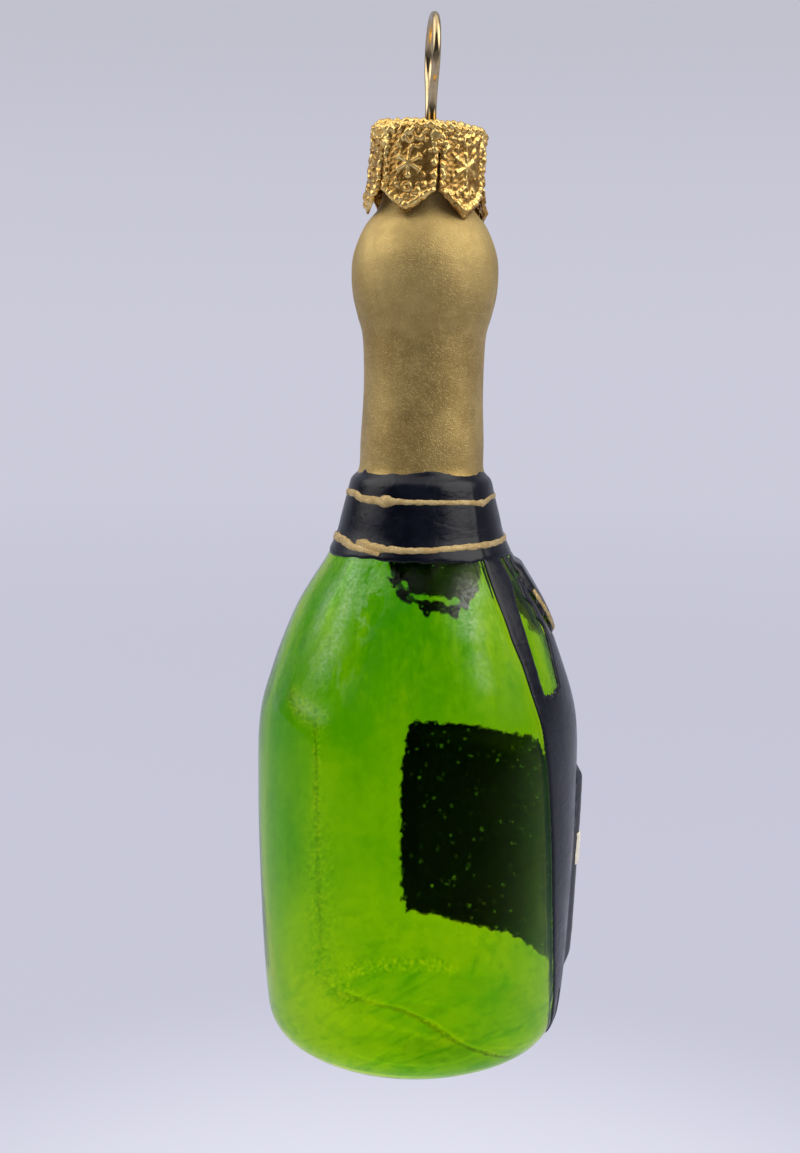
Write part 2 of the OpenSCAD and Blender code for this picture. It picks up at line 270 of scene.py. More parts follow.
# pale sheens on the outer face: lines of angle and height, half-width in mm, strength
sheen_lines = [
    ([(-179, 60), (-174, 56.5), (-174, 54), (-175, 51.5), (-177, 48)], 1.0, 0.9),
    ([(171, 56.5), (172, 53), (169, 50), (166, 46.5), (161, 43.5)], 1.2, 0.8),
    ([(-172, 51.5), (-174, 49)], 1.0, 0.5),
    ([(-109, 57), (-115, 55), (-114.5, 53)], 1.5, 0.9),
    ([(-114, 57.5), (-105, 57)], 1.0, 0.6),
    ([(-114.5, 50), (-111.5, 47.5)], 1.1, 0.6),
    ([(165, 45), (175, 44), (-172, 42.5)], 0.6, 1.0),
    ([(176, 44), (-174, 43)], 1.1, 0.6),
]


def near_seam_phi(z):
    return np.interp(z, near_seam[:, 0], near_seam[:, 1])


def off_line(x, y, line):
    """The distance of places in a plane from a line through several points."""
    best = np.full(np.shape(x), 1e9)
    for (ax, ay), (bx, by) in zip(line, line[1:]):
        length = (bx - ax) ** 2 + (by - ay) ** 2
        t = np.clip(((x - ax) * (bx - ax) + (y - ay) * (by - ay)) / length, 0, 1)
        best = np.minimum(best, np.hypot(x - ax - t * (bx - ax), y - ay - t * (by - ay)))
    return best


def off_crease(phi, z, r):
    """The distance from the crease, in mm along the glass."""
    line = [(math.radians(p - 90) * body_r, h) for p, h in crease_line]
    return off_line(np.radians(turn_from(phi, 90)) * r, z, line)


def seam_height(phi, z):
    """The two mould seams, the crease beside one of them, and their uneven crests."""
    r = glass_r(z)
    near = np.radians(turn_from(phi, near_seam_phi(z))) * r
    far = np.radians(turn_from(phi, far_seam_phi)) * r + ragged(z, z * 0, 5, 3, 0.12)
    crest = 1 + ragged(z, phi * 0.1, 6, 2.5, 0.35)
    crease = off_crease(phi, z, r)
    kept = ramp(z - 1.5, 3) * ramp(neck_z - z, 3)
    low_only = ramp(42 - z, 4)
    far_ridge = 0.5 * np.exp(-(far / (1.4 * seam_half_w)) ** 2) * crest * mix(0.25, 1, low_only)
    return seam_relief * kept * (0.35 * np.exp(-(near / seam_half_w) ** 2) + far_ridge
                                 + 0.9 * np.exp(-(crease / 0.5) ** 2) * crest)


def blown_waves(phi, z):
    """The slow waves of both faces, with upright flutes in the shoulder."""
    flutes = ripple(phi, z, 12, 15, 60, 0.085) * ramp(z - 44, 5) * ramp(62 - z, 3)
    return ripple(phi, z, 11, 5, 22, 0.07) + flutes


def relief(phi, z):
    """How far the glass stands out from its plain turned form."""
    label = label_relief * ramp(label_inside(phi, z), 2.6)
    lobes = sum(lobe_relief * ramp(lobe_inside(phi, z, side), 1.3) for side in (-1, 1))
    lobes = lobes * ramp(collar_z - z + 0.2, 0.6)
    return label + lobes + seam_height(phi, z) + blown_waves(phi, z)


def on_glass(phi, z, out):
    """A place on the glass, or a distance outside it, in mm."""
    r = glass_r(z) + relief(phi, z) + out
    x, y = plan(phi, r)
    return np.stack([x, y, z + 0 * r], axis=-1)


# making objects

def in_scene(name, data):
    """A new object in the scene."""
    thing = bpy.data.objects.new(name, data)
    bpy.context.scene.collection.objects.link(thing)
    return thing


def places_of(piece):
    """The places of a piece's points, in mm."""
    co = np.zeros(len(piece.data.vertices) * 3)
    piece.data.vertices.foreach_get("co", co)
    return co.reshape(-1, 3) / MM


def carry(mesh, label, values):
    """Keeps a value with each point of a mesh."""
    mesh.attributes.new(label, "FLOAT", "POINT").data.foreach_set("value", values)


def new_piece(name, verts, faces, materials, face_slots=None):
    """A mesh object from places in mm, smooth shaded, at the origin."""
    mesh = bpy.data.meshes.new(name)
    mesh.from_pydata((np.asarray(verts, float) * MM).tolist(), [], faces)
    for material in materials:
        mesh.materials.append(material)
    if face_slots is not None:
        mesh.polygons.foreach_set("material_index", face_slots)
    mesh.polygons.foreach_set("use_smooth", [True] * len(mesh.polygons))
    mesh.update()
    return in_scene(name, mesh)


def stand_for(piece, node, body):
    """The piece rides on a body and takes the place of a CAD node."""
    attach(piece, body)
    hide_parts(node)


def grid_faces(rings, columns):
    """Faces between closed rings of places, which turn the way that faces outwards."""
    faces = []
    for k in range(rings - 1):
        for c in range(columns):
            after = (c + 1) % columns
            faces.append((k * columns + c, k * columns + after,
                          (k + 1) * columns + after, (k + 1) * columns + c))
    return faces


def coat(name, field, columns, rows, seat, thickness, materials, near=bond, around=False, edge=0.35):
    """A closed layer on a surface, wherever a field of distances in mm is above 0.

    columns and rows are the grid over which the field is read, seat gives the
    place of a grid point at a distance from the surface, and the layer thins
    out over the edge's width.
    """
    u, v = np.meshgrid(columns, rows, indexing="ij")
    depth = field(u, v)
    inside = depth > 0
    places = []
    known = {}

    def corner(a):
        if a not in known:
            known[a] = len(places)
            places.append((u[a], v[a], depth[a]))
        return known[a]

    def crossing(a, b):
        key = (a, b) if a < b else (b, a)
        if key not in known:
            a, b = key
            share = depth[a] / (depth[a] - depth[b])
            span = u[b] - u[a]
            if around:
                span = turn_from(u[b], u[a])
            known[key] = len(places)
            places.append((u[a] + span * share, mix(v[a], v[b], share), 0))
        return known[key]

    loops = []
    rims = []
    for i in range(len(columns) if around else len(columns) - 1):
        after = (i + 1) % len(columns)
        for j in range(len(rows) - 1):
            corners = [(i, j), (after, j), (after, j + 1), (i, j + 1)]
            states = [inside[c] for c in corners]
            if not any(states):
                continue
            loop = []
            leaving = []
            for k in range(4):
                here, there = corners[k], corners[(k + 1) % 4]
                if states[k]:
                    loop.append(corner(here))
                if states[k] != states[(k + 1) % 4]:
                    if states[k]:
                        leaving.append(len(loop))
                    loop.append(crossing(here, there))
            loops.append(loop)
            for k in leaving:
                rims.append((loop[k], loop[(k + 1) % len(loop)]))
    data = np.array(places)
    full = thickness(data[:, 0], data[:, 1]) if callable(thickness) else thickness
    far = max(near, 0) + full * (0.12 + 0.88 * np.sqrt(np.clip(data[:, 2] / edge, 0, 1)))
    verts = np.vstack([seat(data[:, 0], data[:, 1], far), seat(data[:, 0], data[:, 1], near)])
    count = len(data)
    under = [tuple(p + count for p in reversed(loop)) for loop in loops]
    walls = [(b, a, a + count, b + count) for a, b in rims]
    faces = [tuple(loop) for loop in loops] + walls + under
    slots = [0] * (len(loops) + len(walls)) + [len(materials) - 1] * len(under)
    return new_piece(name, verts, faces, materials, slots)


def joined(name, pieces):
    """Several mesh objects made into one."""
    base = pieces[0]
    with bpy.context.temp_override(active_object=base, selected_editable_objects=pieces):
        bpy.ops.object.join()
    base.name = name
    base.data.name = name
    return base


# node helpers

class Share:
    """A number that varies over a surface, written in sums as a plain number is."""

    def __init__(self, socket):
        self.socket = socket

    def worked_out(self, kind, a, b):
        node = put(self.socket.id_data, "ShaderNodeMath", {0: a, 1: b}, operation=kind)
        return Share(node.outputs[0])

    def __add__(self, other):
        return self.worked_out("ADD", self, other)

    def __radd__(self, other):
        return self.worked_out("ADD", other, self)

    def __sub__(self, other):
        return self.worked_out("SUBTRACT", self, other)

    def __rsub__(self, other):
        return self.worked_out("SUBTRACT", other, self)

    def __mul__(self, other):
        return self.worked_out("MULTIPLY", self, other)

    def __rtruediv__(self, other):
        return self.worked_out("DIVIDE", other, self)

    def larger(self, other):
        """The larger one of two numbers."""
        return self.worked_out("MAXIMUM", self, other)

    def span(self, low, high, to_low=0.0, to_high=1.0):
        """The range from low to high turned into another one, smooth at both ends."""
        values = {"Value": self, "From Min": low, "From Max": high, "To Min": to_low, "To Max": to_high}
        node = put(self.socket.id_data, "ShaderNodeMapRange", values, interpolation_type="SMOOTHSTEP")
        return Share(node.outputs["Result"])


def give(socket, value):
    """Links an output to an input socket, or sets the input to a plain number or colour."""
    if isinstance(value, Share):
        value = value.socket
    if isinstance(value, bpy.types.NodeSocket):
        socket.id_data.links.new(value, socket)
    else:
        socket.default_value = value


def put(tree, kind, inputs=None, **settings):
    """Adds a node, sets its options, and sets or links its inputs by name or number."""
    node = tree.nodes.new(kind)
    for label, value in settings.items():
        setattr(node, label, value)
    for label, value in (inputs or {}).items():
        give(node.inputs[label], value)
    return node


# geometry node trees, for what follows a line or repeats

def node_tree(name, sizes):
    """An empty geometry tree with a mesh input, sizes and a finish."""
    tree = bpy.data.node_groups.new(name, "GeometryNodeTree")
    tree.interface.new_socket("Line", in_out="INPUT", socket_type="NodeSocketGeometry")
    for label, kind, value in sizes:
        socket = tree.interface.new_socket(label, in_out="INPUT", socket_type=kind)
        socket.default_value = value
    tree.interface.new_socket("Finish", in_out="INPUT", socket_type="NodeSocketMaterial")
    tree.interface.new_socket("Piece", in_out="OUTPUT", socket_type="NodeSocketGeometry")
    return tree, tree.nodes.new("NodeGroupInput"), tree.nodes.new("NodeGroupOutput")


def close_tree(tree, start, end, geometry):
    """Shades the result smooth, makes instances real and gives them their finish."""
    shaded = put(tree, "GeometryNodeSetShadeSmooth", {"Geometry": geometry})
    real = put(tree, "GeometryNodeRealizeInstances", {0: shaded.outputs[0]})
    finished = {"Geometry": real.outputs[0], "Material": start.outputs["Finish"]}
    give(end.inputs["Piece"], put(tree, "GeometryNodeSetMaterial", finished).outputs[0])


def own_share(tree):
    """Each point's own share of the size, kept with the path."""
    node = put(tree, "GeometryNodeInputNamedAttribute", {"Name": "share"}, data_type="FLOAT")
    return node.outputs["Attribute"]


def line_tree():
    """A round line along a path, with each point's own share of the thickness."""
    tree, start, end = node_tree("drawn_line", [
        ("Radius", "NodeSocketFloat", 0.0004),
        ("Sides", "NodeSocketInt", 12),
    ])
    path = put(tree, "GeometryNodeMeshToCurve", {"Mesh": start.outputs["Line"]})
    sizes = {"Resolution": start.outputs["Sides"], "Radius": start.outputs["Radius"]}
    circle = put(tree, "GeometryNodeCurvePrimitiveCircle", sizes)
    swept = {"Curve": path.outputs[0], "Profile Curve": circle.outputs["Curve"],
             "Scale": own_share(tree), "Fill Caps": True}
    close_tree(tree, start, end, put(tree, "GeometryNodeCurveToMesh", swept).outputs[0])
    return tree


def bead_tree():
    """A small round bead on each point, with each point's own share of the size."""
    tree, start, end = node_tree("laid_beads", [("Radius", "NodeSocketFloat", 0.001)])
    ball = put(tree, "GeometryNodeMeshIcoSphere", {"Radius": start.outputs["Radius"], "Subdivisions": 4})
    laid = {"Points": start.outputs["Line"], "Instance": ball.outputs["Mesh"], "Scale": own_share(tree)}
    close_tree(tree, start, end, put(tree, "GeometryNodeInstanceOnPoints", laid).outputs[0])
    return tree


def run_tree(tree, name, paths, shares, values, finish, closed=False):
    """Runs a geometry tree over paths of places in mm and returns a plain mesh object."""
    verts = np.vstack(paths) * MM
    edges = []
    at = 0
    for path in paths:
        edges += [(at + k, at + k + 1) for k in range(len(path) - 1)]
        if closed:
            edges.append((at + len(path) - 1, at))
        at += len(path)
    mesh = bpy.data.meshes.new(name)
    mesh.from_pydata(verts.tolist(), [] if tree.name == "laid_beads" else edges, [])
    carry(mesh, "share", np.concatenate(shares))
    guide = in_scene(name + "_guide", mesh)
    modifier = guide.modifiers.new("make", "NODES")
    modifier.node_group = tree
    sockets = {item.name: item.identifier for item in tree.interface.items_tree
               if item.item_type == "SOCKET" and item.in_out == "INPUT"}
    for label, value in values.items():
        modifier[sockets[label]] = value
    modifier[sockets["Finish"]] = finish
    graph = bpy.context.evaluated_depsgraph_get()
    graph.update()
    made = bpy.data.meshes.new_from_object(guide.evaluated_get(graph))
    bpy.data.objects.remove(guide)
    made.name = name
    return in_scene(name, made)


def lay_flat(piece, lowest, squeeze):
    """Settles a round line or bead on the glass: a flat foot, and a lower crown."""
    co = places_of(piece)
    r = np.hypot(co[:, 0], co[:, 1])
    phi = np.degrees(np.arctan2(co[:, 0], -co[:, 1]))
    surface = glass_r(co[:, 2]) + relief(phi, co[:, 2])
    out = lowest + np.maximum(r - surface - lowest, 0) * squeeze
    co[:, :2] *= ((surface + out) / r)[:, None]
    piece.data.vertices.foreach_set("co", (co * MM).ravel())
    piece.data.update()
    return piece


# shaders

def linear(*colour):
    """A colour written as 0 to 255 screen values, as the linear values that nodes take."""
    parts = [c / 255 for c in colour]
    return tuple(c / 12.92 if c <= 0.04045 else ((c + 0.055) / 1.055) ** 2.4 for c in parts) + (1.0,)


def blend(tree, share, a, b, kind="MIX"):
    """A colour mix whose result is an output socket."""
    node = put(tree, "ShaderNodeMix", data_type="RGBA", blend_type=kind)
    for place, value in ((0, share), (6, a), (7, b)):
        give(node.inputs[place], value)
    return node.outputs[2]


def part_of(tree, vector, axis):
    """One of a vector's three parts."""
    return Share(put(tree, "ShaderNodeSeparateXYZ", {0: vector}).outputs[axis])


def dot_with(tree, vector, way):
    """How far a vector reaches along a direction."""
    node = put(tree, "ShaderNodeVectorMath", {0: vector, 1: way}, operation="DOT_PRODUCT")
    return Share(node.outputs["Value"])


def effect_group(name, inputs, output):
    """A new shader group with named inputs and one output."""
    group = bpy.data.node_groups.new(name, "ShaderNodeTree")
    group.interface.new_socket("Place", in_out="INPUT", socket_type="NodeSocketVector")
    for label, kind, value in inputs:
        group.interface.new_socket(label, in_out="INPUT", socket_type=kind).default_value = value
    group.interface.new_socket(output, in_out="OUTPUT", socket_type="NodeSocketFloat")
    return group, group.nodes.new("NodeGroupInput").outputs, group.nodes.new("NodeGroupOutput").inputs[0]


def cloudy_group():
    """Soft clouds of two sizes: a share from 0 to 1 that varies over the surface."""
    group, given, result = effect_group("cloudy", [
        ("Size mm", "NodeSocketFloat", 3.0),
        ("Contrast", "NodeSocketFloat", 0.5),
    ], "Share")
    scale = (1 / MM) / Share(given["Size mm"])
    big = put(group, "ShaderNodeTexNoise", {"Vector": given["Place"], "Scale": scale, "Detail": 3.0})
    small = put(group, "ShaderNodeTexNoise", {"Vector": given["Place"], "Scale": scale * 3.7, "Detail": 5.0})
    both = Share(big.outputs[0]) * 0.65 + Share(small.outputs[0]) * 0.35
    reach = 0.3 - Share(given["Contrast"]) * 0.28
    give(result, both.span(0.5 - reach, 0.5 + reach))
    return group


def scratch_group():
    """Fine short strokes that run mostly one way: a mask."""
    group, given, result = effect_group("strokes", [
        ("Length mm", "NodeSocketFloat", 3.0),
        ("Width mm", "NodeSocketFloat", 0.12),
        ("Amount", "NodeSocketFloat", 0.3),
        ("Tilt", "NodeSocketVector", (0.0, 0.0, 0.0)),
    ], "Mask")
    turned = put(group, "ShaderNodeVectorRotate", {"Vector": given["Place"], "Rotation": given["Tilt"]},
                 rotation_type="EULER_XYZ")
    along = (1 / MM) / Share(given["Length mm"])
    across = (1 / MM) / Share(given["Width mm"])
    scale = put(group, "ShaderNodeCombineXYZ", {0: across, 1: across, 2: along})
    both = {0: turned.outputs[0], 1: scale.outputs[0]}
    drawn = put(group, "ShaderNodeVectorMath", both, operation="MULTIPLY")
    noise = put(group, "ShaderNodeTexNoise", {"Vector": drawn.outputs[0], "Scale": 0.35, "Detail": 2.0})
    edge = 0.78 - Share(given["Amount"]) * 0.3
    give(result, Share(noise.outputs[0]).span(edge, edge + 0.07))
    return group


def speck_group():
    """Small round specks of uneven size: a mask."""
    group, given, result = effect_group("specks", [
        ("Spacing mm", "NodeSocketFloat", 1.2),
        ("Size", "NodeSocketFloat", 0.12),
    ], "Mask")
    scale = (1 / MM) / Share(given["Spacing mm"])
    cells = put(group, "ShaderNodeTexVoronoi", {"Vector": given["Place"], "Scale": scale})
    shade = put(group, "ShaderNodeSeparateColor", {0: cells.outputs["Color"]})
    own = Share(given["Size"]) * Share(shade.outputs[0])
    give(result, Share(cells.outputs["Distance"]).span(own * 0.6, own, 1.0, 0.0))
    return group


cloudy = cloudy_group()
strokes = scratch_group()
specks = speck_group()


def cleared_nodes(owner):
    """The emptied shader tree of a material or of the world."""
    owner.use_nodes = True
    owner.node_tree.nodes.clear()
    return owner.node_tree


def new_material(name):
    """A material with a Principled shader and Object coordinates: material, tree, shader, place."""
    material = bpy.data.materials.new(name)
    tree = cleared_nodes(material)
    shader = tree.nodes.new("ShaderNodeBsdfPrincipled")
    put(tree, "ShaderNodeOutputMaterial", {"Surface": shader.outputs[0]})
    place = tree.nodes.new("ShaderNodeTexCoord").outputs["Object"]
    return material, tree, shader, place


def effect(tree, group, place, **values):
    """A shared effect in a material, with this finish's own values."""
    node = put(tree, "ShaderNodeGroup", node_tree=group)
    give(node.inputs["Place"], place)
    for label, value in values.items():
        node.inputs[label.replace("_", " ")].default_value = value
    return Share(node.outputs[0])


def dress(shader, **values):
    """Sets or links the shader's inputs, each by its name with _ for a space."""
    for label, value in values.items():
        give(shader.inputs[label.replace("_", " ")], value)


def set_bump(shader, height, distance_mm, strength):
    values = {"Height": height, "Distance": distance_mm * MM, "Strength": strength}
    dress(shader, Normal=put(shader.id_data, "ShaderNodeBump", values).outputs[0])


def surface_value(tree, label):
    """A value that the piece's own mesh carries."""
    return Share(put(tree, "ShaderNodeAttribute", attribute_name=label).outputs["Fac"])


def green_glass():
    """Transparent green glass, streaked and mottled, with a pale sheen in places on its outer face."""
    material, tree, shader, place = new_material("green_glass")
    rough_and_glints = surface_value(tree, "rough_and_glints")
    patches = effect(tree, cloudy, place, Size_mm=5.0, Contrast=0.4)
    fine = effect(tree, cloudy, place, Size_mm=1.6, Contrast=0.4)
    grit = effect(tree, cloudy, place, Size_mm=0.45, Contrast=0.85)
    seeds = effect(tree, specks, place, Spacing_mm=2.0, Size=0.1)
    level = effect(tree, strokes, place, Length_mm=3.5, Width_mm=0.5, Amount=0.8, Tilt=(1.57, 0.0, 0.8))
    pulled = put(tree, "ShaderNodeVectorMath", {0: place, 1: (1, 1, 0.2)}, operation="MULTIPLY").outputs[0]
    upright = effect(tree, cloudy, pulled, Size_mm=1.5, Contrast=0.85)
    flow = effect(tree, cloudy, pulled, Size_mm=2.6, Contrast=0.95)
    hair = effect(tree, strokes, pulled, Length_mm=2.0, Width_mm=0.4, Amount=0.62)
    up = part_of(tree, place, 2)
    high = up.span(40 * MM, 49 * MM)
    low = up.span(6 * MM, 15 * MM, 1.0, 0.0)

    # The mesh's depth holds painted shade and painted light besides the glass's own tone.
    shade = surface_value(tree, "depth") + (fine - 0.5) * 0.26 + (patches - 0.5) * 0.16
    shade = shade + high * (upright - 0.5) * 0.34 - high * (hair - 0.1) * 0.22
    shade = shade + low * (level - 0.25) * 0.42 - seeds * 0.6 - rough_and_glints * (grit - 0.5) * 1.7
    tint = blend(tree, shade, (0.63, 0.87, 0.003, 1), (0.24, 0.63, 0.002, 1))
    # Painted highlight along the near seam and painted glints where the glass is rough: the tint turns pale
    # yellow there.
    crest = surface_value(tree, "near_seam_highlight").span(0.25, 0.9) * 0.85
    glints = crest.larger(rough_and_glints * grit.span(0.6, 0.8))
    dress(shader, Base_Color=blend(tree, glints, tint, (1.0, 1.0, 0.3, 1)),
          Roughness=rough_and_glints.span(0, 1, 0.015, 0.12),
          Transmission_Weight=1.0, IOR=1.45, Specular_Tint=(0.06, 0.1, 0.04, 1))
    set_bump(shader, fine * 0.12 + rough_and_glints * grit * 0.7, 0.06, 0.5)

    frosted = grit * 0.55 + 0.45
    one_side = dot_with(tree, place, left_way).span(-2 * MM, 7 * MM, 0.06, 0.46)
    streaky = surface_value(tree, "outside") * flow.span(0.42, 0.9) * frosted * high * one_side
    sheen = surface_value(tree, "sheen") * frosted
    dress(shader, Coat_Weight=streaky.larger(sheen), Coat_Roughness=0.12, Coat_IOR=1.9)

    clear = put(tree, "ShaderNodeBsdfTransparent", {"Color": (0.62, 0.86, 0.2, 1)})
    rays = tree.nodes.new("ShaderNodeLightPath")
    parts = {0: rays.outputs["Is Shadow Ray"], 1: shader.outputs[0], 2: clear.outputs[0]}
    either = put(tree, "ShaderNodeMixShader", parts)
    output = next(n for n in tree.nodes if n.type == "OUTPUT_MATERIAL")
    give(output.inputs["Surface"], either.outputs[0])
    return material


def gold_lacquer():
    """Matt brushed gold with cloudy patches, a fine grain and a few scratches, painted lighter from the bulb
    up as painted light.
    """
    material, tree, shader, place = new_material("gold_lacquer")
    clouds = effect(tree, cloudy, place, Size_mm=5.0, Contrast=0.5)
    mottle = effect(tree, cloudy, place, Size_mm=2.4, Contrast=0.4)
    grain = effect(tree, cloudy, place, Size_mm=0.16, Contrast=0.5)
    brushed = effect(tree, strokes, place, Length_mm=2.4, Width_mm=0.09, Amount=0.62, Tilt=(0.9, 0.5, 0.4))
    crossed = effect(tree, strokes, place, Length_mm=2.2, Width_mm=0.08, Amount=0.6, Tilt=(2.0, 0.9, 1.3))
    level = effect(tree, strokes, place, Length_mm=2.6, Width_mm=0.1, Amount=0.62, Tilt=(1.57, 0.2, 0.7))
    lines = brushed.larger(crossed).larger(level)
    # Painted light: the gold is lighter from the bulb up; it is also a little rougher there.
    bulb_painted_light = part_of(tree, place, 2).span((bulb_z + 1) * MM, (bulb_z + 8) * MM)
    base = blend(tree, clouds, linear(178, 149, 89), linear(210, 181, 114))
    base = blend(tree, mottle * 0.3, base, linear(158, 132, 78))
    base = blend(tree, grain * 0.14, base, linear(150, 124, 72))
    base = blend(tree, lines * 0.2, base, linear(226, 204, 146))
    base = blend(tree, bulb_painted_light * 0.22, base, linear(226, 200, 134))
    dress(shader, Base_Color=base, Roughness=mottle.span(0, 1, 0.36, 0.48) + bulb_painted_light * 0.08,
          Metallic=0.76, Specular_IOR_Level=0.3)
    set_bump(shader, grain * 0.6 + lines + mottle, 0.02, 0.8)
    return material


def black_lacquer():
    """Blue-black glossy lacquer, with brush marks in its surface."""
    material, tree, shader, place = new_material("black_lacquer")
    clouds = effect(tree, cloudy, place, Size_mm=4.0, Contrast=0.4)
    brushed = effect(tree, strokes, place, Length_mm=5.0, Width_mm=0.5, Amount=0.8, Tilt=(1.57, 0.0, 0.0))
    base = blend(tree, clouds, (0.0016, 0.0022, 0.0055, 1), (0.004, 0.005, 0.011, 1))
    dress(shader, Base_Color=base, Roughness=clouds.span(0, 1, 0.16, 0.28),
          IOR=1.5, Specular_IOR_Level=0.36)
    set_bump(shader, clouds + brushed * 0.4, 0.05, 0.6)
    return material


def lacquer_underside():
    """The lacquer as the glass shows it from inside: dull dark green, with a painted reflection that makes it
    paler towards -X, and pale specks of painted light where light would come through holes in the paint.
    """
    material, tree, shader, place = new_material("black_lacquer_underside")
    clouds = effect(tree, cloudy, place, Size_mm=4.0, Contrast=0.4)
    pinhole_light = effect(tree, specks, place, Spacing_mm=0.8, Size=0.22)
    # Painted reflection: the lacquer is paler towards -X.
    painted_reflection_share = part_of(tree, place, 0).span(-12 * MM, 5 * MM, 1.0, 0.0)
    dark = blend(tree, clouds, (0.0004, 0.001, 0.0004, 1), (0.002, 0.005, 0.002, 1))
    pale = blend(tree, clouds, (0.02, 0.062, 0.02, 1), (0.045, 0.11, 0.038, 1))
    base = blend(tree, painted_reflection_share, dark, pale)
    # Painted light: pale specks where light would shine through the paint.
    dress(shader, Base_Color=blend(tree, pinhole_light, base, (0.95, 0.95, 0.8, 1)),
          Roughness=clouds.span(0, 1, 0.7, 0.9), IOR=1.5, Specular_IOR_Level=0.0)
    return material


def gold_enamel():
    """Thick gold enamel, drawn by hand, dull and finely grained."""
    material, tree, shader, place = new_material("gold_enamel")
    clouds = effect(tree, cloudy, place, Size_mm=1.2, Contrast=0.5)
    grain = effect(tree, cloudy, place, Size_mm=0.18, Contrast=0.6)
    base = blend(tree, clouds, linear(200, 170, 112), linear(232, 206, 150))
    dress(shader, Base_Color=blend(tree, grain * 0.45, base, linear(150, 118, 68)),
          Roughness=grain.span(0, 1, 0.3, 0.46), Metallic=0.7)
    set_bump(shader, grain, 0.05, 0.7)
    return material


def cream_enamel():
    """Cream enamel with a faint gloss."""
    material, tree, shader, place = new_material("cream_enamel")
    clouds = effect(tree, cloudy, place, Size_mm=2.0, Contrast=0.4)
    grain = effect(tree, cloudy, place, Size_mm=0.3, Contrast=0.4)
    dress(shader, Base_Color=blend(tree, clouds, linear(226, 216, 192), linear(240, 232, 212)),
          Roughness=grain.span(0, 1, 0.32, 0.45))
    set_bump(shader, clouds + grain, 0.04, 0.6)
    return material


def cap_metal():
    """Bright gold stamped sheet, with painted shade in its hollows, which are coloured duller and browner."""
    material, tree, shader, place = new_material("cap_metal")
    clouds = effect(tree, cloudy, place, Size_mm=0.8, Contrast=0.5)
    high = blend(tree, clouds, linear(255, 202, 104), linear(255, 226, 150))
    low = blend(tree, clouds, linear(146, 104, 44), linear(214, 170, 94))
    # Painted shade: the hollows between the stamped ornament take the duller, browner colour, and the raised
    # parts the bright one.
    raised = surface_value(tree, "raised").span(0.03, 0.2)
    dress(shader, Base_Color=blend(tree, raised, low, high), Roughness=raised.span(0, 1, 0.24, 0.18),
          Metallic=0.8)
    set_bump(shader, clouds, 0.03, 0.5)
    return material


def hanger_metal():
    """Polished pale brass wire with faint drawing lines."""
    material, tree, shader, place = new_material("hanger_metal")
    clouds = effect(tree, cloudy, place, Size_mm=1.5, Contrast=0.4)
    drawn = effect(tree, strokes, place, Length_mm=6.0, Width_mm=0.06, Amount=0.5)
    root = part_of(tree, place, 2).span((cap_top_z + 1.3) * MM, (cap_top_z + 2.1) * MM, 1.0, 0.0)
    base = blend(tree, clouds, linear(206, 178, 132), linear(226, 204, 162))
    dress(shader, Base_Color=blend(tree, root, base, linear(222, 168, 76)),
          Roughness=drawn.span(0, 1, 0.12, 0.2), Metallic=1.0)
    set_bump(shader, drawn, 0.005, 0.5)
    return material


glass_finish = green_glass()
gold_finish = gold_lacquer()
black_finish = black_lacquer()
underside_finish = lacquer_underside()
line_finish = gold_enamel()
cream_finish = cream_enamel()
cap_finish = cap_metal()
wire_finish = hanger_metal()
lacquer_finishes = [black_finish, underside_finish]


# the glass bottle

def even_steps(line, lengths):
    """Points along a line at given distances from its start."""
    run = np.concatenate([[0], np.cumsum(np.hypot(*np.diff(line, axis=0).T))])
    return np.stack([np.interp(lengths, run, line[:, k]) for k in (0, 1)], axis=-1)


def row_steps(line, step_at):
    """Distances along a line, with a step that depends on the height reached."""
    run = np.concatenate([[0], np.cumsum(np.hypot(*np.diff(line, axis=0).T))])
    at = 0.0
    steps = []
    while at < run[-1] - 0.2:
        steps.append(at)
        at += step_at(float(np.interp(at, run, line[:, 1])))
    return steps + [run[-1]]


def outer_step(z):
    """Finer rows at the label's upper and lower edges, coarser ones under the gold."""
    if min(abs(z - label_low_z - 0.8), abs(z - label_top_z + 0.8)) < 1:
        return 0.3
    return 0.6 if z < neck_z else 1.3


def inner_step(z):
    """Finer rows on the base, where its seam shows through the glass."""
    return 0.3 if z < 2 else 1.1 if z < neck_z else 2


def glass_columns():
    """Angles round the bottle, closer together at the seams."""
    angles = set(np.arange(-180, 180, 2.0))
    for middle, reach, step in ((far_seam_phi, 4, 0.7), (-93, 6, 0.7), (-80, 7, 0.8)):
        angles |= set(np.arange(middle - reach, middle + reach + 0.01, step))
    kept = []
    for angle in sorted(angles):
        if not kept or angle - kept[-1] > 0.5:
            kept.append(float(angle))
    return np.array(kept)


# the depth of the green at each height; the deepest part, over the shoulder below the collar, is painted
# shade as well
colour_by_height = np.array([
    (0, 0.38), (2.2, 0.32), (3.4, 0.1), (10, 0.12), (14, 0.24),
    (21, 0.38), (28, 0.5), (36, 0.6), (46, 0.64), (60, 0.62),
])


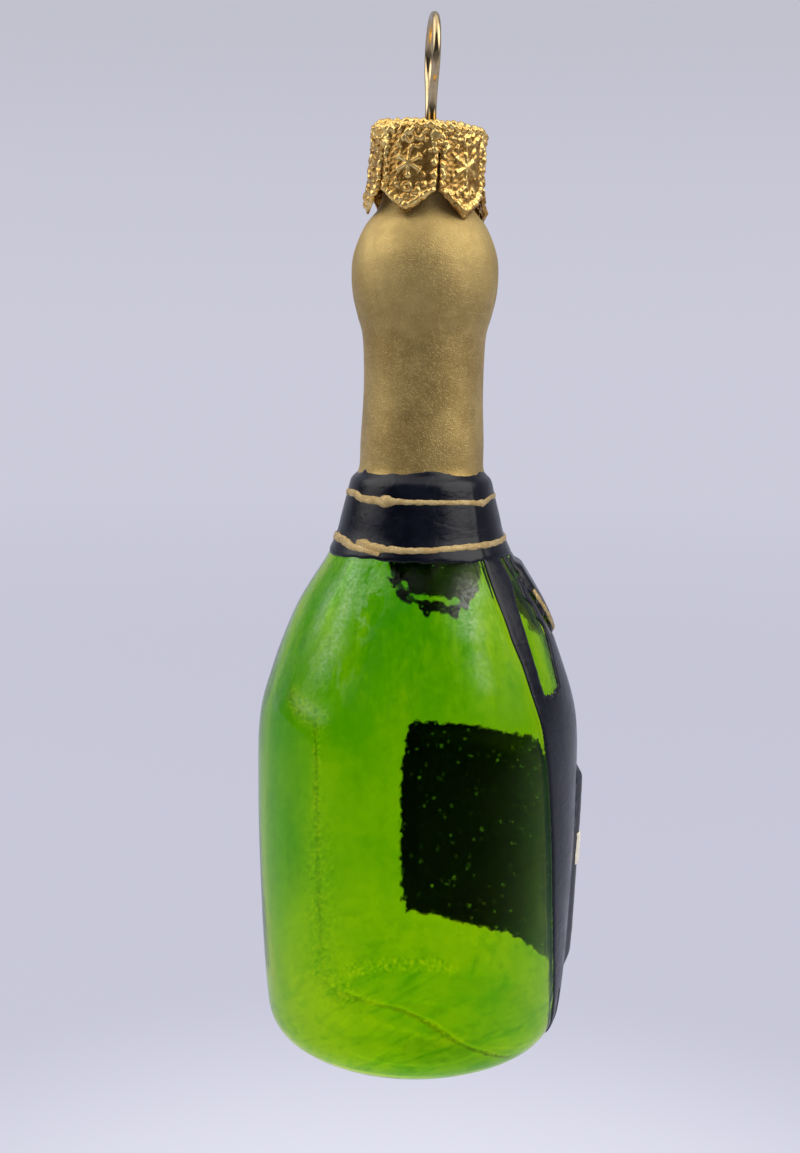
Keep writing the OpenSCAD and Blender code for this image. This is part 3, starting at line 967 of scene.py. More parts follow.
def green_depth_and_painted_light(phi, z, r):
    """0 where the green is pale and yellowish, 1 where it is deepest; it holds painted shade towards the
    camera's left, and painted light on the right of the shoulder, along the near seam and the base seam, and
    in the crease.
    """
    leftwards = r * np.cos(np.radians(phi - left_bearing))
    depth = np.interp(z, colour_by_height[:, 0], colour_by_height[:, 1])
    # Painted shade: deeper in a band over the left of the shoulder and towards the far left edge; low on the
    # left it is paler.
    depth = depth + 0.42 * np.exp(-((leftwards - 4 - (50 - z) * 0.45) / 2.6) ** 2) * ramp(z - 37, 8)
    depth = depth + 0.3 * ramp(leftwards - 13, 4) - 0.2 * ramp(leftwards - 5, 6) * ramp(17 - z, 8)
    # Painted light: paler on the right of the shoulder.
    depth = depth - 0.28 * ramp(-4 - leftwards, 6) * ramp(z - 26, 10)
    x, y = plan(phi, r)
    # Painted highlights: paler along the base seam and along the near seam.
    depth = depth - 0.6 * ramp(0.9 - off_line(x, y, base_seam), 0.6) * ramp(2.6 - z, 1)
    depth = depth - 0.8 * np.exp(-(np.radians(turn_from(phi, near_seam_phi(z))) * r / 0.4) ** 2)
    depth = depth + 0.2 * ramp(16.2 - r, 0.8) * ramp(3.2 - z, 0.8) * ramp(leftwards * -1 + 9, 8)
    depth = depth + 0.5 * np.exp(-((x + 1.4) ** 2 + (y + 12.6) ** 2) / 7) * ramp(3.5 - z, 1)
    clouds = ripple(phi, z, 141, 6, 30, 0.1) + ripple(phi, z, 142, 14, 12, 0.1)
    flow = ripple(phi, z, 143, 22, 70, 0.16) * ramp(z - 40, 8)
    # Painted sheen: the crease is paler.
    lit = ramp(2.0 - off_crease(phi, z, r), 1.6)
    return np.clip((depth + clouds + flow) * (1 - 0.9 * lit), 0, 1)


def rough_and_glint_surface(phi, z):
    """1 where the glass is rough from its mould, beside the far seam and in the crease, and round the heel;
    where it is high, the glass is also painted with glints.
    """
    r = glass_r(z)
    seam = np.abs(np.radians(turn_from(phi, far_seam_phi + 2)) * r)
    line = 0.9 * ramp(1.0 - seam, 0.8)
    beside = np.maximum(line, 0.55 * ramp(4.2 - seam, 3) * ramp(30 - z, 20)) * ramp(39 - z, 5)
    crease = ramp(2.2 - off_crease(phi, z, r), 1.5)
    heel = ramp(0.9 - np.abs(z - 2.3), 0.5) * ramp(36 - np.abs(turn_from(phi, 50)), 16)
    return np.clip(np.maximum(np.maximum(beside, crease), heel), 0, 1)


def sheen_at(phi, z):
    """Where the outer face carries its pale, streaky sheen."""
    best = 0 * phi
    for line, half_width, strength in sheen_lines:
        middle = line[0][0]
        x = np.radians(turn_from(phi, middle)) * glass_r(z)
        flat_line = [(math.radians(turn_from(p, middle)) * float(glass_r(h)), h) for p, h in line]
        away = off_line(x + ragged(z, phi * 0.1, 151, 5, 0.35), z, flat_line)
        best = np.maximum(best, strength * np.exp(-(away / half_width) ** 2))
    return best


def blow_bottle():
    """One closed shell: the outer face from the base to the mouth, and the inner face back down."""
    flat = np.array([(r, 0.35 * (1 - (r / base_flat_r) ** 2)) for r in np.arange(0, base_flat_r, 0.45)])
    line = np.vstack([flat, profile])

    def rows_with(step):
        rows = even_steps(line, row_steps(line, step))
        slope = np.gradient(rows, axis=0)
        return list(zip(rows, slope / np.hypot(slope[:, 0], slope[:, 1])[:, None]))

    phi = glass_columns()
    rings = []
    outer_rows = rows_with(outer_step)[1:-1]
    for (r0, z0), (along_r, along_z) in outer_rows:
        low = float(np.clip((3 - z0) / 2, 0, 1))
        lift = relief(phi, z0 + 0 * phi) * mix(1, float(ramp(r0 - 3, 9)), low)
        r = r0 + lift * mix(1, along_z, low)
        z = z0 - np.minimum(lift, 0.05) * along_r * low
        rings.append((r, np.maximum(z, 0) + 0 * r))
    for share, z0 in ((0, mouth_top_z - 0.35), (0.06, mouth_top_z - 0.12), (0.25, mouth_top_z),
                      (0.75, mouth_top_z), (0.94, mouth_top_z - 0.12), (1, mouth_top_z - 0.35)):
        rings.append((mix(mouth_r, mouth_bore_r, share) + 0 * phi, z0 + 0 * phi))
    for (r0, z0), (along_r, along_z) in rows_with(inner_step)[-3:0:-1]:
        outwards = float(ramp(r0 - 3, 9))
        thick = wall + ripple(phi, z0 + 0 * phi, 21, 6, 26, 0.035) * outwards
        thick = thick * mix(0.4, 1, float(ramp(z0 - 1, 8)))
        r = r0 - thick * along_z
        z = z0 + thick * along_r
        soft = label_relief * ramp(label_inside(phi, z) - 0.4, 2.8)
        soft = soft + sum(lobe_relief * ramp(lobe_inside(phi, z, side) - 0.4, 1.8) for side in (-1, 1))
        r = np.maximum(r + soft + blown_waves(phi, z) * outwards * ramp(z - 1, 3), 0.02)
        x, y = plan(phi, r)
        across = off_line(x, y, base_seam) + ragged(x, y, 31, 1.4, 0.08)
        z = z + 0.1 * np.exp(-(across / 0.35) ** 2) * ramp(4 - z, 3) * (1 + ragged(x, y, 32, 1.2, 0.3))
        rings.append((r, z))
    verts = []
    depth = []
    rough_and_glints = []
    for r, z in rings:
        x, y = plan(phi, r)
        verts += list(zip(x, y, z))
        depth += green_depth_and_painted_light(phi, z, r).tolist()
        crossing = off_line(x, y, base_seam)
        crossing = ramp(0.75 - crossing, 0.6) * ramp(2.6 - z, 1)
        rough_and_glints += np.maximum(rough_and_glint_surface(phi, z) * ramp(r - 6, 6), crossing).tolist()
    count = len(phi)
    faces = grid_faces(len(rings), count)
    low_pole = len(verts)
    high_pole = low_pole + 1
    verts += [(0, 0, rings[0][1].mean()), (0, 0, rings[-1][1].mean())]
    last = (len(rings) - 1) * count
    for c in range(count):
        after = (c + 1) % count
        faces.append((low_pole, after, c))
        faces.append((last + c, last + after, high_pole))
    bottle = new_piece("blown_glass_bottle", verts, faces, [glass_finish])
    hidden = [0.0] * ((len(rings) - len(outer_rows)) * count)
    sheen = []
    near_seam_highlight = []
    for r, z in rings[:len(outer_rows)]:
        sheen += sheen_at(phi, z).tolist()
        # where the glass is painted with a highlight along the near seam
        off_seam = np.radians(turn_from(phi, near_seam_phi(z))) * r
        near_seam_highlight += (np.exp(-(off_seam / 0.22) ** 2) * ramp(58 - z, 3) * ramp(z - 1, 1)).tolist()
    carried = {
        "depth": depth,
        "rough_and_glints": rough_and_glints,
        "outside": [1.0] * len(sheen) + hidden,
        "sheen": sheen + hidden,
        "near_seam_highlight": near_seam_highlight + hidden,
    }
    for label, values in carried.items():
        carry(bottle.data, label, np.array(values + [values[0], values[-1]]))
    return bottle


stand_for(blow_bottle(), "glass_bottle", "bottle")


# lacquer and gold on the glass

def round_mm(phi, z):
    """The distance round the bottle that goes with an angle, in mm."""
    return np.radians(phi) * glass_r(z)


# the gilding's uneven lower edge: angle and height
gold_edge = np.array([
    (-180, 69.5), (-157, 69.6), (-145, 69.75), (-130, 70), (-118, 69.85), (-106, 69.5), (-90, 69.35),
    (-80, 69.5), (-73, 69.75), (-40, 69.4), (0, 69.7), (40, 69.4), (90, 69.7), (130, 69.3),
    (154, 69.4), (160, 69.9), (166, 69.55), (180, 69.5),
])


def gold_edge_z(phi):
    return np.interp(turn_from(phi, 0), gold_edge[:, 0], gold_edge[:, 1])


def gilding_field(phi, z):
    top = gilding_top_z + ripple(phi, 0 * z, 41, 9, 50, 0.25)
    return np.minimum(z - gold_edge_z(phi) + 0.6, top - z)


def gilding_thickness(phi, z):
    """Thicker where the bulb runs into the narrow mouth."""
    return gilding_t + 0.2 * np.exp(-((z - mouth_z) / 0.9) ** 2)


gilding = coat("neck_gilding_brushed", gilding_field, np.arange(-180, 180, 2.4), np.arange(68, 105.8, 0.4),
               on_glass, gilding_thickness, [gold_finish], around=True)
stand_for(gilding, "neck_gilding", "bottle")


def collar_field(phi, z):
    foot = collar_foot_z + ripple(phi, 0 * z, 42, 8, 50, 0.16) + ripple(phi, 0 * z, 43, 30, 50, 0.06)
    top = gold_edge_z(phi) + ripple(phi, 0 * z, 44, 24, 50, 0.05)
    return np.minimum(z - foot, top - z)


collar = coat("collar_lacquer_brushed", collar_field, np.arange(-180, 180, 1.6), np.arange(58.6, 70.8, 0.26),
              on_glass, lacquer_t, lacquer_finishes, around=True)
stand_for(collar, "collar_lacquer", "bottle")


# places in the right lobe where its brush left the glass bare: angle, height, half-width in mm
lobe_gaps = [(52, 53.5, 0.55), (47.5, 52, 0.4), (41, 52, 0.35), (35, 52, 0.5), (27, 51.5, 0.5)]


def lobe_field(side):
    def field(phi, z):
        u = round_mm(phi, z)
        rough = ragged(u, z, 50 + side, 2.2, 0.4) + ragged(u, z, 54 + side, 1.0, 0.16)
        inside = lobe_inside(phi, z, side) - 0.1 + rough
        if side > 0:
            for gap_phi, gap_z, size in lobe_gaps:
                across = np.radians(turn_from(phi, gap_phi)) * glass_r(z) * 0.55
                inside = np.minimum(inside, np.hypot(across, z - gap_z) - size + 0.5 * rough)
        return np.minimum(inside, lacquer_top_z - z)
    return field


for side, word in ((-1, "left"), (1, "right")):
    columns = np.arange(lobe_middle(side) - 37, lobe_middle(side) + 37, 1.0)
    lobe = coat(word + "_lobe_lacquer_glossy", lobe_field(side), columns, np.arange(48.5, 60.5, 0.25),
                on_glass, lacquer_t, lacquer_finishes)
    stand_for(lobe, word + "_lobe_lacquer", "bottle")

# the bare patch in the flank: height, left angle, right angle
bare_patch = np.array([(44.5, -83, -80.5), (45.5, -83.5, -71), (47, -84, -70.5), (48.5, -84, -70),
                       (50, -84.5, -68), (52, -85, -67.5), (53, -85, -71), (54.5, -84, -70.5),
                       (55.5, -82.5, -74), (57.5, -78.5, -72), (59, -76.5, -74.5)])


def flank_field(phi, z):
    r = glass_r(z)
    start = np.radians(phi - near_seam_phi(z)) * r - 0.2
    over_label = flank_top_z + ripple(phi, z * 0, 61, 20, 50, 0.3)
    end_phi = np.where(z > 52, -44, -41.5)
    end = np.radians(end_phi - phi) * r + ragged(z, z * 0, 62, 5, 0.2)
    outside_label = -label_inside(phi, z) - 0.05
    outside_lobe = -lobe_inside(phi, z, -1) + 0.15
    high = np.where(phi > -72, over_label - z + 7 * ramp(-61 - phi, 8), lacquer_top_z - z)
    near_label = np.minimum(outside_label, outside_lobe)
    paint = np.minimum(np.minimum(start, end), np.minimum(near_label, high))
    paint = np.minimum(paint, z - flank_low_z - ragged(phi * 0.3, 0 * z, 63, 3, 0.15))
    left = np.interp(z, bare_patch[:, 0], bare_patch[:, 1])
    right = np.interp(z, bare_patch[:, 0], bare_patch[:, 2])
    bristles = ragged(phi * 0.33, z * 0.12, 64, 0.8, 0.9)
    bare = np.minimum(np.radians(phi - left) * r, np.radians(right - phi) * r)
    bare = np.minimum(bare, z - 44.6 - np.abs(bristles)) + ragged(phi * 0.33, z, 65, 2.5, 0.08)
    nick = 0.3 - off_line(np.radians(phi + 62) * r, z, [(0, 4.2), (0.3, 6.4), (0.25, 7.6)])
    streak = 0.2 - off_line(np.radians(phi + 77) * r, z, [(0, 58.4), (-0.2, 60.6)])
    return np.minimum(paint, -np.maximum(np.maximum(bare, nick), streak))


flank = coat("flank_lacquer_brushed", flank_field, np.arange(-101, -38, 0.7), np.arange(2, 60.6, 0.25),
             on_glass, lacquer_t, lacquer_finishes)
stand_for(flank, "flank_lacquer", "bottle")


def label_field(phi, z):
    u = round_mm(phi, z)
    rough = ragged(u, z, 71, 1.2, 0.19) + ragged(u, z, 72, 3.5, 0.1)
    return label_inside(phi, z) - 0.1 + rough


label = coat("label_lacquer_brushed", label_field, np.arange(-52.5, 52.6, 0.75), np.arange(7.6, 35.3, 0.25),
             on_glass, lacquer_t, lacquer_finishes)
stand_for(label, "label_lacquer", "bottle")


def ribbon_field(phi, z):
    middle = ribbon_z + ragged(round_mm(phi, z), 0 * z, 81, 16, 0.12)
    ends = (ribbon_half_deg - np.abs(phi)) * math.pi / 180 * glass_r(z) + ragged(z, 0 * z, 82, 2, 0.1)
    return np.minimum(ribbon_half_h - np.abs(z - middle), ends) + ragged(round_mm(phi, z), z, 83, 2.5, 0.05)


ribbon = coat("label_ribbon_enamelled", ribbon_field, np.arange(-49.5, 49.6, 0.75),
              np.arange(20.9, 26.4, 0.22), on_glass, enamel_t, [cream_finish], near=lacquer_t + skin_gap,
              edge=0.5)
stand_for(ribbon, "label_ribbon", "bottle")

drawn_line = line_tree()
laid_beads = bead_tree()


def along_places(stations, spacing):
    """Stations of angle, height and half-thickness in mm, made even and close."""
    line = np.array(stations, float)
    steps = np.hypot(np.radians(np.diff(line[:, 0])) * drawn_line_turn_r, np.diff(line[:, 1]))
    run = np.concatenate([[0], np.cumsum(steps)])
    at = np.linspace(0, run[-1], int(run[-1] / spacing))
    return [np.interp(at, run, line[:, k]) for k in (0, 1, 2)]


def draw_line(name, stations, seed, closed, lift):
    """A hand-drawn enamel line on the collar, from stations of angle, height and half-thickness."""
    phi, z, half = along_places(stations, 0.22)
    if closed:
        phi, z, half = phi[:-1], z[:-1], half[:-1]
    u = np.radians(phi) * drawn_line_turn_r
    z = z + ragged(u, 0 * u, seed, 1.4, 0.03)
    half = half * (1 + ragged(u, 0 * u, seed + 1, 0.9, 0.12))
    return run_tree(drawn_line, name, [on_glass(phi, z, lift)], [half], {"Radius": MM, "Sides": 14},
                    line_finish, closed)


# the gold lines' stations: angle, height and half-thickness
upper_stations = [
    (-180, 66.45, 0.46), (-172, 66.4, 0.44), (-168.5, 66.4, 0.5), (-165, 66.42, 0.72), (-162, 66.45, 0.66),
    (-158, 66.45, 0.4), (-150, 66.45, 0.3), (-120, 66.45, 0.27), (-95, 66.35, 0.3), (-84, 66.15, 0.4),
    (-79, 66.35, 0.3), (-70, 66.7, 0.27), (-30, 66.7, 0.32), (0, 66.5, 0.34), (60, 66.4, 0.3),
    (120, 66.7, 0.36), (150, 66.95, 0.42), (163, 66.9, 0.48), (167, 66.7, 0.48), (172, 66.5, 0.46),
    (180, 66.45, 0.46),
]
upper_line = draw_line("upper_gold_line_drawn", upper_stations, 91, True, lacquer_t + 0.05)
lay_flat(upper_line, 0.12, 0.45)
stand_for(upper_line, "upper_gold_line", "bottle")

lower_stations = [
    (-183, 61.7, 0.3), (-179, 61.6, 0.5), (-174, 61.45, 0.56), (-170, 61.3, 0.6), (-165, 61.25, 0.46),
    (-158, 61.2, 0.42), (-145, 61.15, 0.36), (-130, 61.25, 0.33), (-115, 61.45, 0.36), (-85, 61.6, 0.36),
    (-60, 61.8, 0.32), (-30, 61.8, 0.36), (0, 61.6, 0.38), (60, 61.4, 0.36), (120, 61.6, 0.4),
    (150, 61.75, 0.48), (162, 61.6, 0.52), (170, 61.3, 0.52), (176, 61.05, 0.42), (184, 61.0, 0.36),
    (190, 60.85, 0.34), (195, 60.65, 0.3), (197, 60.55, 0.18),
]
lower_line = draw_line("lower_gold_line_drawn", lower_stations, 93, False, lacquer_t + 0.08)
lay_flat(lower_line, 0.12, 0.45)
stand_for(lower_line, "lower_gold_line", "bottle")

face_out = lacquer_t + skin_gap


def lobe_rim(side, ring):
    """The lower arc just inside a lobe's edge; the left one starts a little below the collar."""
    lift = math.degrees(math.asin((collar_z + 0.3 - lobe_z) / ring))
    start = left_rim_start if side < 0 else 180 - lift
    angle = np.radians(np.linspace(start, 360 + lift, 90))
    z = lobe_z + ring * np.sin(angle)
    away = np.degrees(np.arcsin(np.clip(ring * np.cos(angle) / glass_r(z), -1, 1)))
    return lobe_middle(side) + away, z


for side, word in ((-1, "left"), (1, "right")):
    phi, z = lobe_rim(side, lobe_r - 0.75)
    thick = 0.33 * (1 + ragged(np.arange(len(z)) * 0.3, 0 * z, 95 + side, 1.5, 0.14))
    edging = run_tree(drawn_line, word + "_lobe_edging_drawn", [on_glass(phi, z, face_out)], [thick],
                      {"Radius": MM, "Sides": 14}, line_finish)
    lay_flat(edging, 0.1, 0.5)
    stand_for(edging, word + "_lobe_edging", "bottle")


def border_path(z_from, z_to, half_deg, corner):
    """Half of the label's frame: up one side from the ribbon, across, and down the other."""
    step = corner / body_r * 180 / math.pi
    rise = math.copysign(corner, z_to - z_from)
    turn = np.radians(np.linspace(0, 90, 8))
    right = [(half_deg, mix(z_from, z_to - rise, s)) for s in np.linspace(0, 1, 22)]
    bend_right = [(half_deg - step + step * math.cos(t), z_to - rise + rise * math.sin(t)) for t in turn]
    across = [(mix(half_deg - step, step - half_deg, s), z_to) for s in np.linspace(0, 1, 90)[1:-1]]
    path = right + bend_right + across
    path += [(-p, h) for p, h in reversed(bend_right)] + [(-p, h) for p, h in reversed(right)]
    return np.array(path)


border_paths = []
border_shares = []
for z_from, z_to in ((26.1, 32.0), (21.1, 10.8)):
    path = border_path(z_from, z_to, border_half_deg, border_corner_r)
    u = np.radians(path[:, 0]) * body_r
    shift = ragged(u, path[:, 1], 101, 4, 0.06)
    border_paths.append(on_glass(path[:, 0], path[:, 1] + shift, face_out))
    border_shares.append(gold_line_r * (1 + ragged(u, path[:, 1], 102, 1.2, 0.12)))
border = run_tree(drawn_line, "label_border_drawn", border_paths, border_shares, {"Radius": MM, "Sides": 12},
                  line_finish)
lay_flat(border, 0.12, 0.5)
stand_for(border, "label_border", "bottle")


def emblem_places():
    """A bunch of grapes below the ribbon and a row of dots above it: places and sizes."""
    step_deg = math.degrees(grape_step / (body_r + 1.25))
    places = []
    shares = []
    for row, many in enumerate((4, 3, 2, 1)):
        for i in range(many):
            phi = (i - (many - 1) / 2) * step_deg
            places.append(on_glass(np.array(phi), np.array(grapes_top_z - row * grape_step * 0.87), face_out))
            shares.append(0.93)
    for i in range(-2, 3):
        places.append(on_glass(np.array(i * 2.0 * step_deg), np.array(dots_z), face_out))
        shares.append(0.56)
    return np.array(places), np.array(shares)


places, shares = emblem_places()
emblem = run_tree(laid_beads, "label_emblem_beads", [places], [shares], {"Radius": MM}, line_finish)
lay_flat(emblem, 0.12, 0.45)
stand_for(emblem, "label_emblem", "bottle")


# the crown cap

def cap_radius(z):
    return mix(cap_r_tip, cap_r_top, np.clip((z - cap_tip_z) / (cap_top_z - cap_tip_z), 0, 1))


def petal_place(angle, z):
    """A place's distance across its petal and up from the petal's tip, in mm."""
    away = (angle - petal_turn) % 60 - 30
    return np.radians(away) * cap_radius(z), z - cap_tip_z


def petal_half_width(up):
    """Half the width of a petal at a height above its tip."""
    full = math.radians(30) * stamp_r - slit_w / 2
    return np.minimum(0.3 + up * (full - 0.3) / 2.6, full)


def petal_strokes():
    """The stamped ornament as strokes: start and end round the cap and upwards, radius and height."""
    rng = np.random.default_rng(111)
    half = math.radians(30) * stamp_r
    strokes_made = []

    def stroke(u0, v0, u1, v1, radius, height, loose=0.0):
        shift = rng.uniform(-loose, loose, 2)
        size = 1 + rng.uniform(-2, 2) * loose
        strokes_made.append((middle + u0 + shift[0], v0 + shift[1], middle + u1 + shift[0], v1 + shift[1],
                             radius * size, height * size))

    def ring(u, v, radius, thick, height):
        for k in range(8):
            a, b = math.radians(45 * k), math.radians(45 * (k + 1))
            stroke(u + radius * math.cos(a), v + radius * math.sin(a), u + radius * math.cos(b),
                   v + radius * math.sin(b), thick, height)

    for petal in range(6):
        middle = math.radians(petal_turn + 30 + 60 * petal) * stamp_r
        for side in (-1, 1):
            for v in np.arange(3.3, 9, 0.7):
                lean = rng.uniform(-0.25, 0.25)
                stroke(side * (half - 0.55), v, side * (half - 0.55) + lean, v + 0.2, 0.3, 0.26, 0.17)
            for share in np.linspace(0.1, 0.93, 5):
                u, v = side * mix(0.25, half - 0.5, share), mix(0.75, 2.75, share)
                stroke(u, v, u + rng.uniform(-0.2, 0.2), v + 0.15, 0.36, 0.32, 0.17)
            for v in (2.2, 3.1, 7.3, 8.1):
                stroke(side * 1.15, v, side * 1.3, v + 0.15, 0.26, 0.16, 0.15)
            stroke(side * 1.9, 4.1, side * 1.7, 4.4, 0.2, 0.14, 0.15)
            stroke(side * 1.9, 6.9, side * 1.7, 6.6, 0.2, 0.14, 0.15)
        stroke(0, 0.85, 0, 0.95, 0.42, 0.3)
        for turn in range(30, 390, 60):
            c, s = math.cos(math.radians(turn)), math.sin(math.radians(turn))
            stroke(0.1 * c, 5.5 + 0.1 * s, 1.5 * c, 5.5 + 1.5 * s, 0.2, 0.24)
            for lean in (-35, 35):
                cl, sl = math.cos(math.radians(turn + lean)), math.sin(math.radians(turn + lean))
                stroke(1.1 * c, 5.5 + 1.1 * s, 1.1 * c + 0.45 * cl, 5.5 + 1.1 * s + 0.45 * sl,
                       0.15, 0.18, 0.03)
        ring(0, 2.9, 0.42, 0.19, 0.22)
        ring(0, 8.3, 0.5, 0.2, 0.24)
        ring(half, 8.2, 0.5, 0.2, 0.24)
        for k in range(9):
            u = (k - 4) * 0.77
            stroke(u, 9.7, u + 0.3, 9.5, 0.3, 0.34, 0.2)
            stroke(u + 0.38, 9.05, u + 0.1, 8.75, 0.27, 0.28, 0.2)
        for k in range(22):
            u, v = rng.uniform(-half, half), rng.uniform(6.9, 9.3)
            stroke(u, v, u + rng.uniform(-0.4, 0.4), v + rng.uniform(-0.3, 0.3), 0.2, 0.2, 0.1)
        for k in range(10):
            u, v = rng.uniform(-1.9, 1.9), rng.uniform(1.6, 3.6)
            stroke(u, v, u + rng.uniform(-0.3, 0.3), v + rng.uniform(-0.3, 0.3), 0.24, 0.22, 0.1)
    return strokes_made


cap_strokes = petal_strokes()


def stamping(angle, z):
    """The height of the cap's stamped ornament."""
    girth = 2 * math.pi * stamp_r
    x, v = np.radians(angle) * stamp_r, z - cap_tip_z
    u, up = petal_place(angle, z)
    height = 0.1 * ramp(1.9 - np.hypot(u, up - 5.5), 1.9)
    for x0, v0, x1, v1, radius, high in cap_strokes:
        px = (x - x0 + girth / 2) % girth - girth / 2
        dx, dv = x1 - x0, v1 - v0
        t = np.clip((px * dx + (v - v0) * dv) / max(dx * dx + dv * dv, 1e-9), 0, 1)
        away = ((px - t * dx) ** 2 + (v - v0 - t * dv) ** 2) / radius ** 2
        height = np.maximum(height, high * np.clip(1 - away, 0, 1) ** 0.7)
    return height + ragged(np.radians(angle) * 6.5, z, 112, 0.7, 0.02)


def cap_lean(places):
    """The cap sits a little askew on the mouth, which it turns about the camera's side."""
    lean = math.radians(-3.2)
    axis = Vector((-0.68, 0.73, 0)).normalized()
    turn = np.array(Matrix.Rotation(lean, 3, axis))
    pivot = np.array([0, 0, cap_top_z - 4])
    return (places - pivot) @ turn.T + pivot


def on_cap(angle, z, out):
    u, v = petal_place(angle, z)
    facet = 0.16 * ((u / 3.4) ** 2 - 0.4) * ramp(8.6 - v, 2)
    waves = 0.1 * np.sin(np.radians(angle * 3 + 40)) + 0.22 * np.cos(np.radians(angle - camera_bearing))
    flare = (waves + 0.1) * ramp(3.5 - v, 3.5)
    pressed = stamping(angle, z)
    shoulder = np.sqrt(np.clip(1 - ((z - (cap_top_z - 0.55)) / 0.95) ** 2, 0, 1))
    r = cap_radius(z) - 0.3 * (1 - np.where(z > cap_top_z - 0.55, shoulder, 1))
    r = r + facet + flare + pressed * np.where(np.asarray(out) > 0.1, 1, 0.75) + out - cap_sheet
    a = np.radians(angle)
    return cap_lean(np.stack([r * np.cos(a), r * np.sin(a), z + 0 * r], axis=-1))


def skirt_field(angle, z):
    u, v = petal_place(angle, z)
    tips = petal_half_width(v) - np.abs(u)
    whole = v - 7.5
    tips = np.where(v < 2.7, tips * 0.66, tips) + ragged(u * 1.3 + angle * 0.1, v, 113, 1.1, 0.04)
    slits = np.maximum(tips, whole)
    return np.minimum(np.minimum(slits, v), cap_top_z + 0.15 - z)


cap_angles = np.arange(0, 360, 0.9) + 0.45
skirt = coat("skirt", skirt_field, cap_angles, np.arange(cap_tip_z - 0.1, cap_top_z + 0.3, 0.1), on_cap,
             cap_sheet, [cap_finish], near=0.0, around=True, edge=0.08)


def cap_rim():
    """The rolled rim round the cap's top, with a row of small loops."""
    columns = np.arange(0, 360, 1.5)
    a = np.radians(columns)
    rings = []
    for turn in np.radians(np.arange(0, 360, 30)):
        loops = 1 + 0.24 * np.cos(a * 44 + 3 * np.sin(a * 5))
        loops = loops + 0.14 * np.sin(a * 7) + 0.16 * np.sin(a * 23 + turn)
        out = 5.72 + 0.5 * math.cos(turn) * loops
        up = cap_top_z + 0.02 + 0.42 * math.sin(turn) * loops
        rings.append(np.stack([out * np.cos(a), out * np.sin(a), up + 0 * out], axis=-1))
    count = len(columns)
    faces = grid_faces(len(rings), count)
    last = (len(rings) - 1) * count
    faces += [(last + c, last + (c + 1) % count, (c + 1) % count, c) for c in range(count)]
    return new_piece("rim", cap_lean(np.vstack(rings)), faces, [cap_finish])


def top_field(x, y):
    c, s = math.cos(math.radians(cap_turn)), math.sin(math.radians(cap_turn))
    holes = [np.hypot(x - side * leg_gap / 2 * c, y - side * leg_gap / 2 * s) - 0.62 for side in (-1, 1)]
    return np.minimum(5.75 - np.hypot(x, y), np.minimum(*holes))


def on_top(x, y, out):
    r = np.hypot(x, y)
    rings = 0.07 * np.cos(r * 2 * math.pi / 1.3) * ramp(r - 2.6, 0.8)
    rings = rings + ragged(x, y, 121, 0.9, 0.015)
    return cap_lean(np.stack([x, y, cap_top_z - cap_sheet + rings + out + 0 * r], axis=-1))


cover = coat("cover", top_field, np.arange(-5.9, 5.95, 0.16), np.arange(-5.9, 5.95, 0.16), on_top,
             cap_sheet, [cap_finish], near=0.0, edge=0.08)
cap = joined("crown_cap_stamped", [skirt, cap_rim(), cover])
co = places_of(cap)
angle = np.degrees(np.arctan2(co[:, 1], co[:, 0])) % 360
# the top and rim count as raised, so they take the bright colour and none of the painted shade
raised = np.where(co[:, 2] > cap_top_z - 0.3, 0.16, stamping(angle, co[:, 2]))
carry(cap.data, "raised", raised)
stand_for(cap, "crown_cap", "cap")


# the hanger

def wire_path():
    """The wire's centre line in its own plane: up one leg, round the eye and down the other."""
    half = smooth([
        (leg_reach - 0.95, leg_tip_z),
        (leg_reach - 0.29, leg_tip_z + 1.26),
        (leg_reach, leg_tip_z + 3.57),
        (leg_reach, leg_tip_z + 9.45),
        (mix(leg_reach, leg_gap / 2, 0.5), cap_top_z - 5.46),
        (leg_gap / 2, cap_top_z - 1.68),
        (leg_gap / 2, cap_top_z + 0.5),
        (leg_gap / 2, cap_top_z + 2.57),
        (eye_r * 0.62, eye_z - eye_r * 0.86),
    ], 10)
    arc = [(eye_r * math.cos(math.radians(a)), eye_z + eye_r * math.sin(math.radians(a)))
           for a in np.arange(-45, 90, 5)]
    right = np.vstack([half, arc])
    left = right[::-1] * (-1, 1)
    return np.vstack([right, [(0, eye_z + eye_r)], left])


flat = wire_path()
turned = math.radians(cap_turn)
wire_places = np.stack([flat[:, 0] * math.cos(turned), flat[:, 0] * math.sin(turned), flat[:, 1]], axis=-1)
lean_of_wire = math.tan(math.radians(wire_lean_deg)) * (wire_places[:, 2:] - leg_tip_z)
wire_places = wire_places + lean_of_wire * -np.array([left_way])
wire_share = np.ones(len(flat))
for end in (slice(0, 3), slice(-3, None)):
    tips = [0.45, 0.8, 0.96]
    wire_share[end] = tips if end.start == 0 else tips[::-1]
wire = run_tree(drawn_line, "hanger_wire_drawn", [wire_places], [wire_share],
                {"Radius": wire_r * MM, "Sides": 24}, wire_finish)
stand_for(wire, "hanger_wire", "hanger")


# the camera, at the photograph's place, in metres and degrees
camera_distance = 0.182
camera_height = 0.083
camera_lens_mm = 48.49
camera_pan = 0.738
camera_dip = 8.19
camera_roll = 0.9


def beside(bearing, distance, height):
    """A place round the object, by its bearing from -Y towards +X."""
    a = math.radians(bearing)
    return (distance * math.sin(a), -distance * math.cos(a), height)


